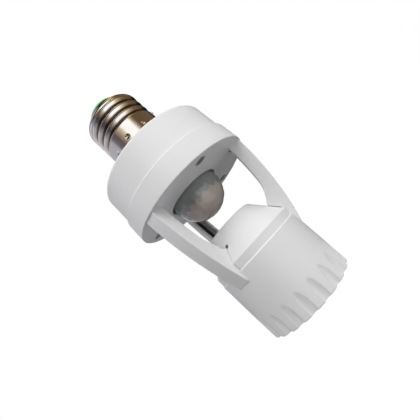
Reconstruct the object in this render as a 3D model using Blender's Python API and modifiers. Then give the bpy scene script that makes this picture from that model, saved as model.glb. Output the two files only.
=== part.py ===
"""Motion sensor lamp holder: a screw cap, a sensor housing, three struts and a lamp cup.

The holder stands on the mouth of its lamp cup, with the screw cap at the top.
The origin is the centre of the mouth, +Z points to the tip of the cap, and the
first strut lies on +X. All sizes are in metres.
"""

import math

import bmesh
import bpy
from mathutils import Matrix, Vector

MM = 0.001

# Fits between pieces
CLEARANCE = 0.3 * MM
FILLET_SEGMENTS = 3
SMALL_FILLET = 0.7 * MM

# Lamp cup
CUP_SKIRT_HEIGHT = 27.8 * MM
CUP_RADIUS = 19.5 * MM
SKIRT_TAPER = 0.25 * MM
CUP_WALL = 1.6 * MM
SKIRT_WALL = 2.1 * MM
CONE_HEIGHT = 12.4 * MM
CONE_INSET = 9.0 * MM
CONE_TOP_FILLET = 1.2 * MM
BAND_DEPTH = 0.35 * MM
BAND_HEIGHT = 2.6 * MM
POCKET_DEPTH = 1.0 * MM
SNAP_BEAD = 0.5 * MM
FLUTE_COUNT = 20
FLUTE_HEIGHT = 8.5 * MM
FLUTE_DEPTH = 1.1 * MM
FLUTE_RADIUS = 1.9 * MM
LEAD_HOLE_RADIUS = 1.3 * MM

# Sensor housing, lower half
SENSOR_GAP = 18.8 * MM
BASE_RADIUS = 28.15 * MM
BASE_DRAFT = 0.4 * MM
BASE_HEIGHT = 8.8 * MM
BASE_WALL = 1.5 * MM
BASE_FILLET = 0.4 * MM
PLATE_THICKNESS = 1.5 * MM
PLATE_RECESS = 0.3 * MM
PLATE_RIM = 5.35 * MM
LENS_GAP = 0.8 * MM
COLLAR_HEIGHT = 2.9 * MM
COLLAR_WALL = 1.2 * MM

# Sensor housing, upper half
HOUSING_STEP = 0.8 * MM
HOUSING_DRAFT = 0.35 * MM
HOUSING_WALL_HEIGHT = 10.4 * MM
HOUSING_WALL = 1.6 * MM
SHOULDER_FILLET = 2.6 * MM
ROOF_RISE = 3.4 * MM
SPIGOT_DEPTH = 2.2 * MM
SPIGOT_WALL = 1.0 * MM
NECK_HEIGHT = 11.2 * MM
NECK_WALL = 1.8 * MM

# Struts
STRUT_COUNT = 3
STRUT_WIDTH = 6.0 * MM
STRUT_DEPTH = 5.3 * MM
STRUT_FACE = 1.2 * MM
STRUT_WEB = 1.0 * MM
STRUT_INSET = 0.65 * MM
STRUT_BOW = 1.5 * MM
STRUT_EDGE = 0.4 * MM
TONGUE_LENGTH = 7.0 * MM
TONGUE_STAND = 0.1 * MM
TONGUE_SOLID = 3.2 * MM
KNEE_RISE = 3.3 * MM
GUSSET_RADIUS = 18.2 * MM
GUSSET_TURN = math.radians(33)
RELIEF_HOLE_RADIUS = 0.65 * MM
WIRE_HOLE_RADIUS = 1.5 * MM
WIRE_HOLE_INSET = 4.85 * MM

# Screws of the housing
SCREW_INSET = 4.75 * MM
SCREW_HOLE_RADIUS = 2.3 * MM
SCREW_HEAD_RADIUS = 1.95 * MM
SCREW_HEAD_HEIGHT = 1.6 * MM
SCREW_SHANK_RADIUS = 1.15 * MM
SCREW_LENGTH = 12.0 * MM
SCREW_RECESS = 1.5 * MM
WELL_WALL = 0.8 * MM
WELL_FLOOR = 1.5 * MM
BOSS_RADIUS = 2.2 * MM

# Screw cap
SHELL_WALL = 0.5 * MM
SKIRT_RADIUS = 13.3 * MM
SKIRT_FLARE = 0.6 * MM
SKIRT_HEIGHT = 11.2 * MM
THREAD_CREST_RADIUS = 13.15 * MM
THREAD_DEPTH = 1.1 * MM
THREAD_PITCH = 3.62 * MM
THREAD_TURNS = 3.4
THREAD_STEPS = 4
THREAD_START = math.radians(-83)
THREAD_RUN_IN = 2.1 * MM
SHELL_END_FILLET = 1.8 * MM
SHELL_END_LIP = 2.0 * MM
DENT_COUNT = 10
DENT_RADIUS = 1.3 * MM
DENT_DEPTH = 0.3 * MM
DENT_RISE = 5.9 * MM
INSULATOR_RISE = 4.8 * MM
INSULATOR_TOP_RADIUS = 8.2 * MM
INSULATOR_FILLET = 0.8 * MM
INSULATOR_DEPTH = 5.5 * MM
CONTACT_RADIUS = 4.9 * MM
CONTACT_HEIGHT = 2.2 * MM
CONTACT_RECESS = 2.1 * MM

# Lamp socket inside the cup
SOCKET_INSET = 3.85 * MM
SOCKET_WALL = 0.4 * MM
SOCKET_MOUTH_HEIGHT = 3.6 * MM
SOCKET_LIP = 3.6 * MM
BLOCK_THICKNESS = 3.2 * MM
BLOCK_HUB_HEIGHT = 1.2 * MM
BLOCK_RISE = 0.2 * MM
SPRING_WIDTH = 5.0 * MM
SPRING_THICKNESS = 0.4 * MM
SPRING_DROP = 3.6 * MM
RIVET_RADIUS = 0.8 * MM
RIVET_HEAD_RADIUS = 1.4 * MM
RIVET_HEAD_HEIGHT = 0.7 * MM

# Lens and electronics
DOME_RADIUS = 11.35 * MM
DOME_DROP = 0.9 * MM
DOME_WALL = 0.6 * MM
DOME_FLANGE = 3.65 * MM
DOME_FLANGE_THICKNESS = 0.7 * MM
RETAINER_THICKNESS = 1.2 * MM
BOARD_INSET = 7.95 * MM
BOARD_THICKNESS = 1.6 * MM
BOARD_DROP = 0.4 * MM
BOARD_SCREW_INSET = 2.9 * MM
BOARD_SCREW_LENGTH = 7.5 * MM
SENSOR_RADIUS = 4.6 * MM
SENSOR_HEIGHT = 4.4 * MM
SENSOR_WINDOW = (3.8 * MM, 2.8 * MM, 0.4 * MM)
PHOTOCELL_RADIUS = 2.4 * MM
PHOTOCELL_HEIGHT = 2.0 * MM
RELAY_HEIGHT = 10.8 * MM
FILM_CAPACITOR_HEIGHT = 10.5 * MM
SMOOTHING_RADIUS = 4.0 * MM
SMOOTHING_HEIGHT = 10.4 * MM
CHIP_SIZE = (5.0 * MM, 4.0 * MM, 1.5 * MM)
RECTIFIER_SIZE = (4.8 * MM, 4.0 * MM, 2.4 * MM)
LEAD_RADIUS = 0.75 * MM
CAP_LEAD_RADIUS = 0.6 * MM

# Radii that follow from the sizes above
CUP_MOUTH_RADIUS = CUP_RADIUS - SKIRT_TAPER
CUP_BORE_RADIUS = CUP_RADIUS - SKIRT_WALL
CONE_TOP_RADIUS = CUP_RADIUS - CONE_INSET
SOCKET_THREAD_RADIUS = CUP_BORE_RADIUS - SOCKET_INSET
SHELL_RIVET_RADIUS = 0.834 * SOCKET_THREAD_RADIUS
BLOCK_HUB_RADIUS = 0.635 * SOCKET_THREAD_RADIUS
SPRING_RIVET_RADIUS = 0.7 * BLOCK_HUB_RADIUS
BASE_TOP_RADIUS = BASE_RADIUS - BASE_DRAFT
HOUSING_RADIUS = BASE_TOP_RADIUS - HOUSING_STEP
HOUSING_SHOULDER_RADIUS = HOUSING_RADIUS - HOUSING_DRAFT
PLATE_RECESS_RADIUS = BASE_RADIUS - PLATE_RIM
LENS_OPENING_RADIUS = DOME_RADIUS + LENS_GAP
DOME_FLANGE_RADIUS = DOME_RADIUS + DOME_FLANGE
SCREW_CIRCLE = BASE_RADIUS - SCREW_INSET
BOARD_RADIUS = BASE_RADIUS - BOARD_INSET
BOARD_SCREW_CIRCLE = BOARD_RADIUS - BOARD_SCREW_INSET

# Footprints and places on the board, as shares of its radius
RELAY_SIZE = (0.743 * BOARD_RADIUS, 0.525 * BOARD_RADIUS, RELAY_HEIGHT)
RELAY_PLACE = (-0.426 * BOARD_RADIUS, 0.277 * BOARD_RADIUS)
FILM_CAPACITOR_SIZE = (0.817 * BOARD_RADIUS, 0.317 * BOARD_RADIUS, FILM_CAPACITOR_HEIGHT)
FILM_CAPACITOR_PLACE = (0.099 * BOARD_RADIUS, -0.465 * BOARD_RADIUS)
SMOOTHING_PLACE = (0.515 * BOARD_RADIUS, 0.257 * BOARD_RADIUS)
CHIP_PLACE = (-0.525 * BOARD_RADIUS, -0.297 * BOARD_RADIUS)
RECTIFIER_PLACE = (0.149 * BOARD_RADIUS, -0.129 * BOARD_RADIUS)
TIP_PAD_PLACE = (0.089 * BOARD_RADIUS, 0.089 * BOARD_RADIUS)
SHELL_PAD_PLACE = (0.663 * BOARD_RADIUS, -0.168 * BOARD_RADIUS)

# Heights that follow from the sizes above
CUP_TOP = CUP_SKIRT_HEIGHT + CONE_HEIGHT
BASE = CUP_TOP + SENSOR_GAP
SPLIT = BASE + BASE_HEIGHT
SHOULDER = SPLIT + CLEARANCE + HOUSING_WALL_HEIGHT
ROOF = SHOULDER + SHOULDER_FILLET
NECK_FOOT = ROOF + ROOF_RISE
NECK_TOP = NECK_FOOT + NECK_HEIGHT
NECK_RADIUS = THREAD_CREST_RADIUS - SHELL_WALL - CLEARANCE
SKIRT_FOOT = NECK_FOOT + CLEARANCE
THREAD_FOOT = SKIRT_FOOT + SKIRT_HEIGHT
THREAD_TOP = THREAD_FOOT + THREAD_TURNS * THREAD_PITCH
SHELL_END = THREAD_TOP + SHELL_END_FILLET
INSULATOR_TOP = SHELL_END + INSULATOR_RISE
CONTACT_SEAT = INSULATOR_TOP - CONTACT_RECESS
TIP = CONTACT_SEAT + CONTACT_HEIGHT
FLOOR = BASE + PLATE_THICKNESS
BOARD = SPLIT - BOARD_DROP - BOARD_THICKNESS
BOARD_TOP = BOARD + BOARD_THICKNESS
LEDGE = BASE + SCREW_RECESS + SCREW_HEAD_HEIGHT + CLEARANCE
BLOCK_TOP = CUP_SKIRT_HEIGHT + BLOCK_RISE
BLOCK_FOOT = BLOCK_TOP - BLOCK_THICKNESS
TONGUE_FOOT = CUP_SKIRT_HEIGHT - TONGUE_LENGTH
POCKET_RADIUS = CUP_RADIUS - POCKET_DEPTH
STRUT_ANGLES = [index * math.tau / STRUT_COUNT for index in range(STRUT_COUNT)]
SCREW_ANGLES = [angle + math.pi / STRUT_COUNT for angle in STRUT_ANGLES]

ROUND_STEPS = 36
THREAD_ROUND_STEPS = 28
SMALL_STEPS = 16


def remove_scene_objects():
    """Empties the scene before the model is made."""
    for item in list(bpy.data.objects):
        bpy.data.objects.remove(item, do_unlink=True)


def new_collection(name):
    collection = bpy.data.collections.new(name)
    bpy.context.scene.collection.children.link(collection)
    return collection


def new_material(name, colour, roughness, metallic=0.0, alpha=1.0):
    """A Principled material with the piece's colour and surface."""
    material = bpy.data.materials.new(name)
    material.use_nodes = True
    shader = material.node_tree.nodes["Principled BSDF"]
    shader.inputs["Base Color"].default_value = (*colour, 1.0)
    shader.inputs["Roughness"].default_value = roughness
    shader.inputs["Metallic"].default_value = metallic
    shader.inputs["Alpha"].default_value = alpha
    material.diffuse_color = (*colour, alpha)
    return material


def evaluated_mesh(item):
    """The mesh of an object with its modifiers, free of loose doubles."""
    bpy.context.view_layer.update()
    graph = bpy.context.evaluated_depsgraph_get()
    mesh = bpy.data.meshes.new_from_object(item.evaluated_get(graph), depsgraph=graph)
    shape = bmesh.new()
    shape.from_mesh(mesh)
    bmesh.ops.remove_doubles(shape, verts=shape.verts, dist=0.000001)
    shape.to_mesh(mesh)
    shape.free()
    return mesh


def freeze(item):
    """Replaces an object by a mesh object of what it evaluates to."""
    mesh = evaluated_mesh(item)
    frozen = bpy.data.objects.new(item.name + "_mesh", mesh)
    frozen.matrix_world = item.matrix_world.copy()
    for collection in item.users_collection:
        collection.objects.link(frozen)
    name = item.name
    bpy.data.objects.remove(item, do_unlink=True)
    frozen.name = name
    return frozen


def piece(item, material):
    """Gives a finished sub-part its material and its smooth shading."""
    item.data.materials.clear()
    item.data.materials.append(material)
    item.data.shade_smooth()
    item.data.set_sharp_from_angle(angle=math.radians(30))
    return item


def cutter(item):
    """Moves a helper solid to the cutters, where it is drawn as wire only."""
    for collection in list(item.users_collection):
        collection.objects.unlink(item)
    cutters.objects.link(item)
    item.hide_render = True
    item.display_type = "WIRE"
    return item


def rounded(outline, closed=True):
    """Points of an outline whose corners may carry a fillet radius as a third value."""
    count = len(outline)
    result = []
    for index, corner in enumerate(outline):
        here = Vector(corner[:2])
        radius = corner[2] if len(corner) > 2 else 0.0
        if radius <= 0.0 or (not closed and index in (0, count - 1)):
            result.append(tuple(here))
            continue
        before = Vector(outline[index - 1][:2]) - here
        after = Vector(outline[(index + 1) % count][:2]) - here
        half = before.angle(after) / 2
        reach = radius / math.tan(half)
        reach = min(reach, before.length * 0.49, after.length * 0.49)
        radius = reach * math.tan(half)
        centre = here + (before.normalized() + after.normalized()).normalized() * radius / math.sin(half)
        start = here + before.normalized() * reach - centre
        finish = here + after.normalized() * reach - centre
        sweep = start.angle_signed(finish)
        segments = 1 if corner[2] < SMALL_FILLET else FILLET_SEGMENTS
        for step in range(segments + 1):
            turn = -sweep * step / segments
            arm = Matrix.Rotation(turn, 2) @ start
            result.append(tuple(centre + arm))
    return result


def turned(name, outline, steps=ROUND_STEPS, closed=True):
    """A solid of revolution about Z; the outline runs clockwise with the radius to the right."""
    points = rounded(outline, closed)
    mesh = bpy.data.meshes.new(name)
    edges = [(index, index + 1) for index in range(len(points) - 1)]
    if closed:
        edges.append((len(points) - 1, 0))
    mesh.from_pydata([(radius, 0.0, height) for radius, height in points], edges, [])
    item = bpy.data.objects.new(name, mesh)
    holder.objects.link(item)
    screw = item.modifiers.new("Turn", "SCREW")
    screw.steps = steps
    screw.render_steps = steps
    screw.use_merge_vertices = True
    screw.merge_threshold = 0.00001
    screw.use_normal_calculate = False
    return freeze(item)


def extruded(name, outline, thickness, placement):
    """A flat outline given a thickness, centred on its plane."""
    curve = bpy.data.curves.new(name, "CURVE")
    curve.dimensions = "2D"
    curve.fill_mode = "BOTH"
    curve.extrude = thickness / 2
    points = rounded(outline)
    spline = curve.splines.new("POLY")
    spline.points.add(len(points) - 1)
    for point, (across, along) in zip(spline.points, points):
        point.co = (across, along, 0.0, 1.0)
    spline.use_cyclic_u = True
    item = bpy.data.objects.new(name, curve)
    item.matrix_world = placement
    holder.objects.link(item)
    return freeze(item)


def wire(name, route, radius, steps_per_span=3):
    """A round lead with filled ends along a smooth curve through the route's points."""
    ends = [Vector(route[0])] + [Vector(point) for point in route] + [Vector(route[-1])]
    points = []
    for index in range(1, len(ends) - 2):
        first, second, third, fourth = ends[index - 1:index + 3]
        for step in range(steps_per_span):
            share = step / steps_per_span
            square = share * share
            cube = square * share
            points.append(0.5 * (2 * second + (third - first) * share
                                 + (2 * first - 5 * second + 4 * third - fourth) * square
                                 + (3 * second - first - 3 * third + fourth) * cube))
    points.append(ends[-1])
    curve = bpy.data.curves.new(name, "CURVE")
    curve.dimensions = "3D"
    curve.bevel_depth = radius
    curve.bevel_resolution = 2
    curve.use_fill_caps = True
    spline = curve.splines.new("POLY")
    spline.points.add(len(points) - 1)
    for place, point in zip(spline.points, points):
        place.co = (*point, 1.0)
    item = bpy.data.objects.new(name, curve)
    holder.objects.link(item)
    return freeze(item)


def rod(name, radius, foot, top, place=(0.0, 0.0), steps=SMALL_STEPS):
    """An upright cylinder between two heights."""
    bpy.ops.mesh.primitive_cylinder_add(
        vertices=steps, radius=radius, depth=top - foot,
        location=(place[0], place[1], (foot + top) / 2))
    item = bpy.context.object
    item.name = name
    for collection in list(item.users_collection):
        collection.objects.unlink(item)
    holder.objects.link(item)
    return item


def block(name, size, foot, place, bevel=0.0):
    """A box standing on a height, with bevelled edges where a bevel is given."""
    mesh = bpy.data.meshes.new(name)
    shape = bmesh.new()
    bmesh.ops.create_cube(shape, size=1.0)
    bmesh.ops.scale(shape, vec=Vector(size), verts=shape.verts)
    shape.to_mesh(mesh)
    shape.free()
    item = bpy.data.objects.new(name, mesh)
    item.location = (place[0], place[1], foot + size[2] / 2)
    holder.objects.link(item)
    if bevel > 0.0:
        edge = item.modifiers.new("Edges", "BEVEL")
        edge.width = bevel
        edge.segments = 2
        edge.limit_method = "ANGLE"
    return item


def combine(item, other, operation):
    """Joins or cuts with a second solid, which becomes a cutter."""
    modifier = item.modifiers.new(operation.title() + "_" + other.name, "BOOLEAN")
    modifier.operation = operation
    modifier.object = cutter(other)
    modifier.solver = "EXACT"
    return item


def cut(item, *tools):
    for tool in tools:
        combine(item, tool, "DIFFERENCE")
    return item


def join(item, *tools):
    for tool in tools:
        combine(item, tool, "UNION")
    return item


def polar(radius, angle):
    return (radius * math.cos(angle), radius * math.sin(angle))


def shifted(item, place):
    """Moves a piece's mesh sideways, so that its own origin stays on the axis."""
    for vertex in item.data.vertices:
        vertex.co.x += place[0]
        vertex.co.y += place[1]
    return item


def strip_outline(line, thickness):
    """Outline of a bent strip of even thickness from its middle line."""
    sides = ([], [])
    for index, point in enumerate(line):
        here = Vector(point)
        before = here - Vector(line[max(index - 1, 0)])
        after = Vector(line[min(index + 1, len(line) - 1)]) - here
        before = before.normalized() if before.length > 0 else after.normalized()
        after = after.normalized() if after.length > 0 else before
        along = (before + after).normalized()
        reach = thickness / 2 / max(along.dot(before), 0.5)
        across = Vector((-along.y, along.x)) * reach
        sides[0].append(tuple(here + across))
        sides[1].append(tuple(here - across))
    return sides[0] + sides[1][::-1]


def upright(angle):
    """Places an outline drawn as radius and height in the upright plane at an angle round Z."""
    return Matrix.Rotation(angle, 4, "Z") @ Matrix.Rotation(math.pi / 2, 4, "X")


def cone_radius(height):
    """Outer radius of the lamp cup's cone."""
    share = (height - CUP_SKIRT_HEIGHT) / CONE_HEIGHT
    return CUP_RADIUS + (CONE_TOP_RADIUS - CUP_RADIUS) * share


def cone_slant(distance):
    """Radial size of a wall or gap whose thickness is measured square to the cone."""
    return distance * math.hypot(CONE_HEIGHT, CUP_RADIUS - CONE_TOP_RADIUS) / CONE_HEIGHT


def cup_outside():
    """Outer outline of the lamp cup from the middle of its top down to its mouth."""
    band = CUP_RADIUS - BAND_DEPTH
    band_top = CUP_SKIRT_HEIGHT + BAND_DEPTH * CONE_HEIGHT / CONE_INSET
    band_foot = CUP_SKIRT_HEIGHT - BAND_HEIGHT
    return [
        (0.0, CUP_TOP),
        (CONE_TOP_RADIUS, CUP_TOP, CONE_TOP_FILLET),
        (band, band_top),
        (band, band_foot),
        (CUP_RADIUS, band_foot - BAND_DEPTH),
        (CUP_MOUTH_RADIUS, 0.0, 0.35 * MM),
    ]


def thread_offset(angle, height, foot, top):
    """Depth of the rolled thread below its crest at an angle and a height."""
    reach = THREAD_PITCH / 2
    fade = max(0.0, min(1.0, (height - foot) / reach, (top - height) / reach))
    fade = fade * fade * (3 - 2 * fade)
    turn = math.tau * (height - foot - THREAD_RUN_IN) / THREAD_PITCH - (angle - THREAD_START)
    return -THREAD_DEPTH * fade * (0.5 + 0.5 * math.cos(turn))


def roll_thread(item, foot, top):
    """Presses the helical wave of the thread into a turned sleeve."""
    for vertex in item.data.vertices:
        place = vertex.co
        radius = math.hypot(place.x, place.y)
        if foot < place.z < top:
            angle = math.atan2(place.y, place.x)
            share = 1 + thread_offset(angle, place.z, foot, top) / radius
            place.x *= share
            place.y *= share
    return item


def thread_heights(foot, top):
    """Heights of the rings of points that carry the thread, from the foot to the top."""
    count = round((top - foot) / THREAD_PITCH * THREAD_STEPS)
    return [foot + (top - foot) * index / count for index in range(count + 1)]


def pocket_cutter(index, angle):
    """Space that the foot of a strut takes out of the skirt and of the lowest part of the cone."""
    width = STRUT_WIDTH + 2 * CLEARANCE
    height = CONE_HEIGHT / 2 + TONGUE_LENGTH + CLEARANCE
    depth = 2 * POCKET_DEPTH
    space = block("pocket_%d" % index, (depth, width, height), TONGUE_FOOT - CLEARANCE, (0.0, 0.0))
    foot = space.location.z
    space.matrix_world = (Matrix.Rotation(angle, 4, "Z")
                          @ Matrix.Translation((POCKET_RADIUS + depth / 2, 0.0, foot)))
    return space


def make_lamp_cup(plastic):
    """Skirt with flutes at its mouth, cone above it, and pockets for the feet of the struts."""
    inner_slant = cone_slant(CUP_WALL)
    inner_top = CUP_TOP - CUP_WALL
    inner_foot = CUP_SKIRT_HEIGHT + (CUP_RADIUS - inner_slant - CUP_BORE_RADIUS) / (
        (CUP_RADIUS - CONE_TOP_RADIUS) / CONE_HEIGHT)
    bead = BLOCK_FOOT - CLEARANCE
    outline = cup_outside() + [
        (CUP_BORE_RADIUS, 0.0),
        (CUP_BORE_RADIUS, bead - 2 * SNAP_BEAD),
        (CUP_BORE_RADIUS - SNAP_BEAD, bead - SNAP_BEAD / 2),
        (CUP_BORE_RADIUS, bead),
        (CUP_BORE_RADIUS, inner_foot),
        (cone_radius(inner_top) - inner_slant, inner_top),
        (0.0, inner_top),
    ]
    cup = turned("lamp_cup", outline, steps=2 * FLUTE_COUNT, closed=False)
    lean = math.atan2(FLUTE_DEPTH, FLUTE_HEIGHT)
    for index in range(FLUTE_COUNT):
        angle = index * math.tau / FLUTE_COUNT
        groove = rod("flute_cutter_%02d" % index, FLUTE_RADIUS, -FLUTE_HEIGHT, 2 * FLUTE_HEIGHT)
        foot = Vector((CUP_MOUTH_RADIUS - FLUTE_DEPTH + FLUTE_RADIUS, 0.0, 0.0))
        groove.matrix_world = (Matrix.Rotation(angle, 4, "Z") @ Matrix.Translation(foot)
                               @ Matrix.Rotation(lean, 4, "Y")
                               @ Matrix.Translation((0.0, 0.0, FLUTE_HEIGHT / 2))
                               @ Matrix.Rotation(math.pi / SMALL_STEPS, 4, "Z"))
        cut(cup, groove)
    for index, angle in enumerate(STRUT_ANGLES):
        cut(cup, pocket_cutter(index, angle))
    for angle in STRUT_ANGLES[:2]:
        cut(cup, lead_hole(angle))
    return piece(cup, plastic)


def lead_entry_height():
    """Height at which a lead passes the wall of the lamp cup's cone."""
    return CUP_SKIRT_HEIGHT + 0.3 * CONE_HEIGHT


def lead_hole(angle):
    height = lead_entry_height()
    length = 4 * CUP_WALL
    hole = rod("lead_hole_cutter", LEAD_HOLE_RADIUS, -length, length, steps=12)
    hole.matrix_world = (Matrix.Rotation(angle, 4, "Z")
                         @ Matrix.Translation((cone_radius(height), 0.0, height))
                         @ Matrix.Rotation(math.pi / 2, 4, "Y"))
    return hole


def strut_outer(height):
    """Distance of a strut's outer face from the axis: a line with a slight outward bow."""
    foot_radius = CUP_RADIUS + TONGUE_STAND
    top_radius = BASE_RADIUS - STRUT_INSET
    share = (height - TONGUE_FOOT) / (BASE - TONGUE_FOOT)
    bow = 4 * STRUT_BOW * share * (1 - share)
    return foot_radius + (top_radius - foot_radius) * share + bow


def strut_heights(foot, top, count):
    return [foot + (top - foot) * index / count for index in range(count + 1)]


def gusset_edge():
    """Inner edge below the knee: an arc that turns in towards the cone, then runs into it."""
    knee = CUP_TOP + KNEE_RISE
    here = Vector((strut_outer(knee) - STRUT_DEPTH, knee))
    above = Vector((strut_outer(knee + MM) - STRUT_DEPTH, knee + MM))
    start = math.atan2(above.x - here.x, MM)
    points = []
    count = 4
    for index in range(1, count + 1):
        lean = start + GUSSET_TURN * (index - 0.5) / count
        step = GUSSET_RADIUS * GUSSET_TURN / count
        here = here + Vector((-math.sin(lean), -math.cos(lean))) * step
        points.append(tuple(here))
    lean = start + GUSSET_TURN
    here = here + Vector((-math.sin(lean), -math.cos(lean))) * 2 * CUP_WALL
    points.append(tuple(here))
    return points


def relief_place():
    """Centre of the small relief hole, where the gusset's inner edge reaches the cone."""
    corner = gusset_edge()[-2]
    share = (corner[1] - CUP_SKIRT_HEIGHT) / CONE_HEIGHT
    across = corner[0] - CUP_RADIUS - (CONE_TOP_RADIUS - CUP_RADIUS) * share
    return corner[0] - across / 2, corner[1] - across / 2


def strut_outline(head):
    """Side view of a strut as radius and height, clockwise from the head of its outer face."""
    knee = CUP_TOP + KNEE_RISE
    foot = TONGUE_FOOT
    outer = [(strut_outer(height), height) for height in strut_heights(foot, BASE, 7)[::-1]]
    inner = [(strut_outer(height) - STRUT_DEPTH, height) for height in strut_heights(knee, BASE, 3)]
    edge = gusset_edge()
    inside = CUP_RADIUS - 3 * CUP_WALL
    return ([(outer[0][0], head)] + outer + [(inside, foot), (inside, edge[-1][1])]
            + edge[::-1][1:] + inner + [(inner[-1][0], head)])


def channel_outline():
    """Side view of the hollow between a strut's two webs."""
    foot = TONGUE_FOOT + TONGUE_SOLID
    heights = strut_heights(foot, BASE, 6)[::-1]
    back = [(strut_outer(height) - STRUT_FACE, height) for height in heights]
    inside = CONE_TOP_RADIUS - STRUT_DEPTH
    return back + [(inside, foot), (inside, BASE)]


def make_strut(angle, index):
    """One strut as a solid with rounded long edges, and the cutter of its channel."""
    head = BASE + PLATE_THICKNESS / 2
    solid = extruded("strut_%d" % index, strut_outline(head), STRUT_WIDTH, upright(angle))
    edge = solid.modifiers.new("Edges", "BEVEL")
    edge.width = STRUT_EDGE
    edge.segments = 2
    edge.limit_method = "ANGLE"
    edge.angle_limit = math.radians(60)
    width = STRUT_WIDTH - 2 * STRUT_WEB
    channel = extruded("channel_%d" % index, channel_outline(), width, upright(angle))
    return solid, channel


def cup_space():
    """Room the cup takes between the struts: its cone, and its skirt down to the pockets' floor."""
    slant = cone_slant(CLEARANCE)
    floor = POCKET_RADIUS + CLEARANCE
    meeting = CUP_SKIRT_HEIGHT + (CUP_RADIUS + slant - floor) * CONE_HEIGHT / (CUP_RADIUS - CONE_TOP_RADIUS)
    return turned("cup_space", [
        (0.0, CUP_TOP + CLEARANCE),
        (CONE_TOP_RADIUS + slant, CUP_TOP + CLEARANCE),
        (floor, meeting),
        (floor, 0.0),
        (0.0, 0.0),
    ], closed=False)


def make_strut_frame(plastic):
    """The lower housing with its three channel struts, moulded in one piece."""
    inner = BASE_TOP_RADIUS - BASE_WALL
    collar = DOME_FLANGE_RADIUS + CLEARANCE
    outline = [
        (BASE_TOP_RADIUS, SPLIT, 0.15 * MM),
        (BASE_RADIUS, BASE, BASE_FILLET),
        (PLATE_RECESS_RADIUS + PLATE_RECESS, BASE),
        (PLATE_RECESS_RADIUS, BASE + PLATE_RECESS),
        (LENS_OPENING_RADIUS + PLATE_RECESS, BASE + PLATE_RECESS),
        (LENS_OPENING_RADIUS, BASE + 2 * PLATE_RECESS),
        (LENS_OPENING_RADIUS, FLOOR),
        (collar, FLOOR),
        (collar, FLOOR + COLLAR_HEIGHT),
        (collar + COLLAR_WALL, FLOOR + COLLAR_HEIGHT),
        (collar + COLLAR_WALL, FLOOR),
        (inner, FLOOR),
        (inner, SPLIT),
    ]
    frame = turned("strut_frame", outline)
    channels = []
    for index, angle in enumerate(STRUT_ANGLES):
        solid, channel = make_strut(angle, index)
        join(frame, solid)
        channels.append(channel)
    for index, angle in enumerate(SCREW_ANGLES):
        place = polar(SCREW_CIRCLE, angle)
        well = rod("well_%d" % index, SCREW_HOLE_RADIUS + WELL_WALL,
                   BASE + PLATE_THICKNESS / 2, LEDGE + WELL_FLOOR, place)
        join(frame, well)
    cut(frame, *channels)
    cut(frame, cup_space())
    for index, angle in enumerate(SCREW_ANGLES):
        place = polar(SCREW_CIRCLE, angle)
        cut(frame, rod("screw_hole_%d" % index, SCREW_HOLE_RADIUS, BASE - MM, LEDGE, place))
        shank = SCREW_SHANK_RADIUS + CLEARANCE
        cut(frame, rod("shank_hole_%d" % index, shank, LEDGE - MM, LEDGE + WELL_FLOOR + MM, place, steps=12))
    for index, angle in enumerate(STRUT_ANGLES):
        place = polar(BASE_RADIUS - WIRE_HOLE_INSET, angle)
        cut(frame, rod("wire_hole_%d" % index, WIRE_HOLE_RADIUS, BASE - MM, FLOOR + MM, place))
        tip = relief_place()
        relief = rod("relief_%d" % index, RELIEF_HOLE_RADIUS, -STRUT_WIDTH, STRUT_WIDTH, steps=12)
        relief.matrix_world = upright(angle) @ Matrix.Translation((tip[0], tip[1], 0.0))
        cut(frame, relief)
    return piece(frame, plastic)


def roof_height(radius):
    """Height of the housing roof's outer face at a distance from the axis."""
    edge = HOUSING_SHOULDER_RADIUS - SHOULDER_FILLET
    return ROOF + ROOF_RISE * (edge - radius) / (edge - NECK_RADIUS)


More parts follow.
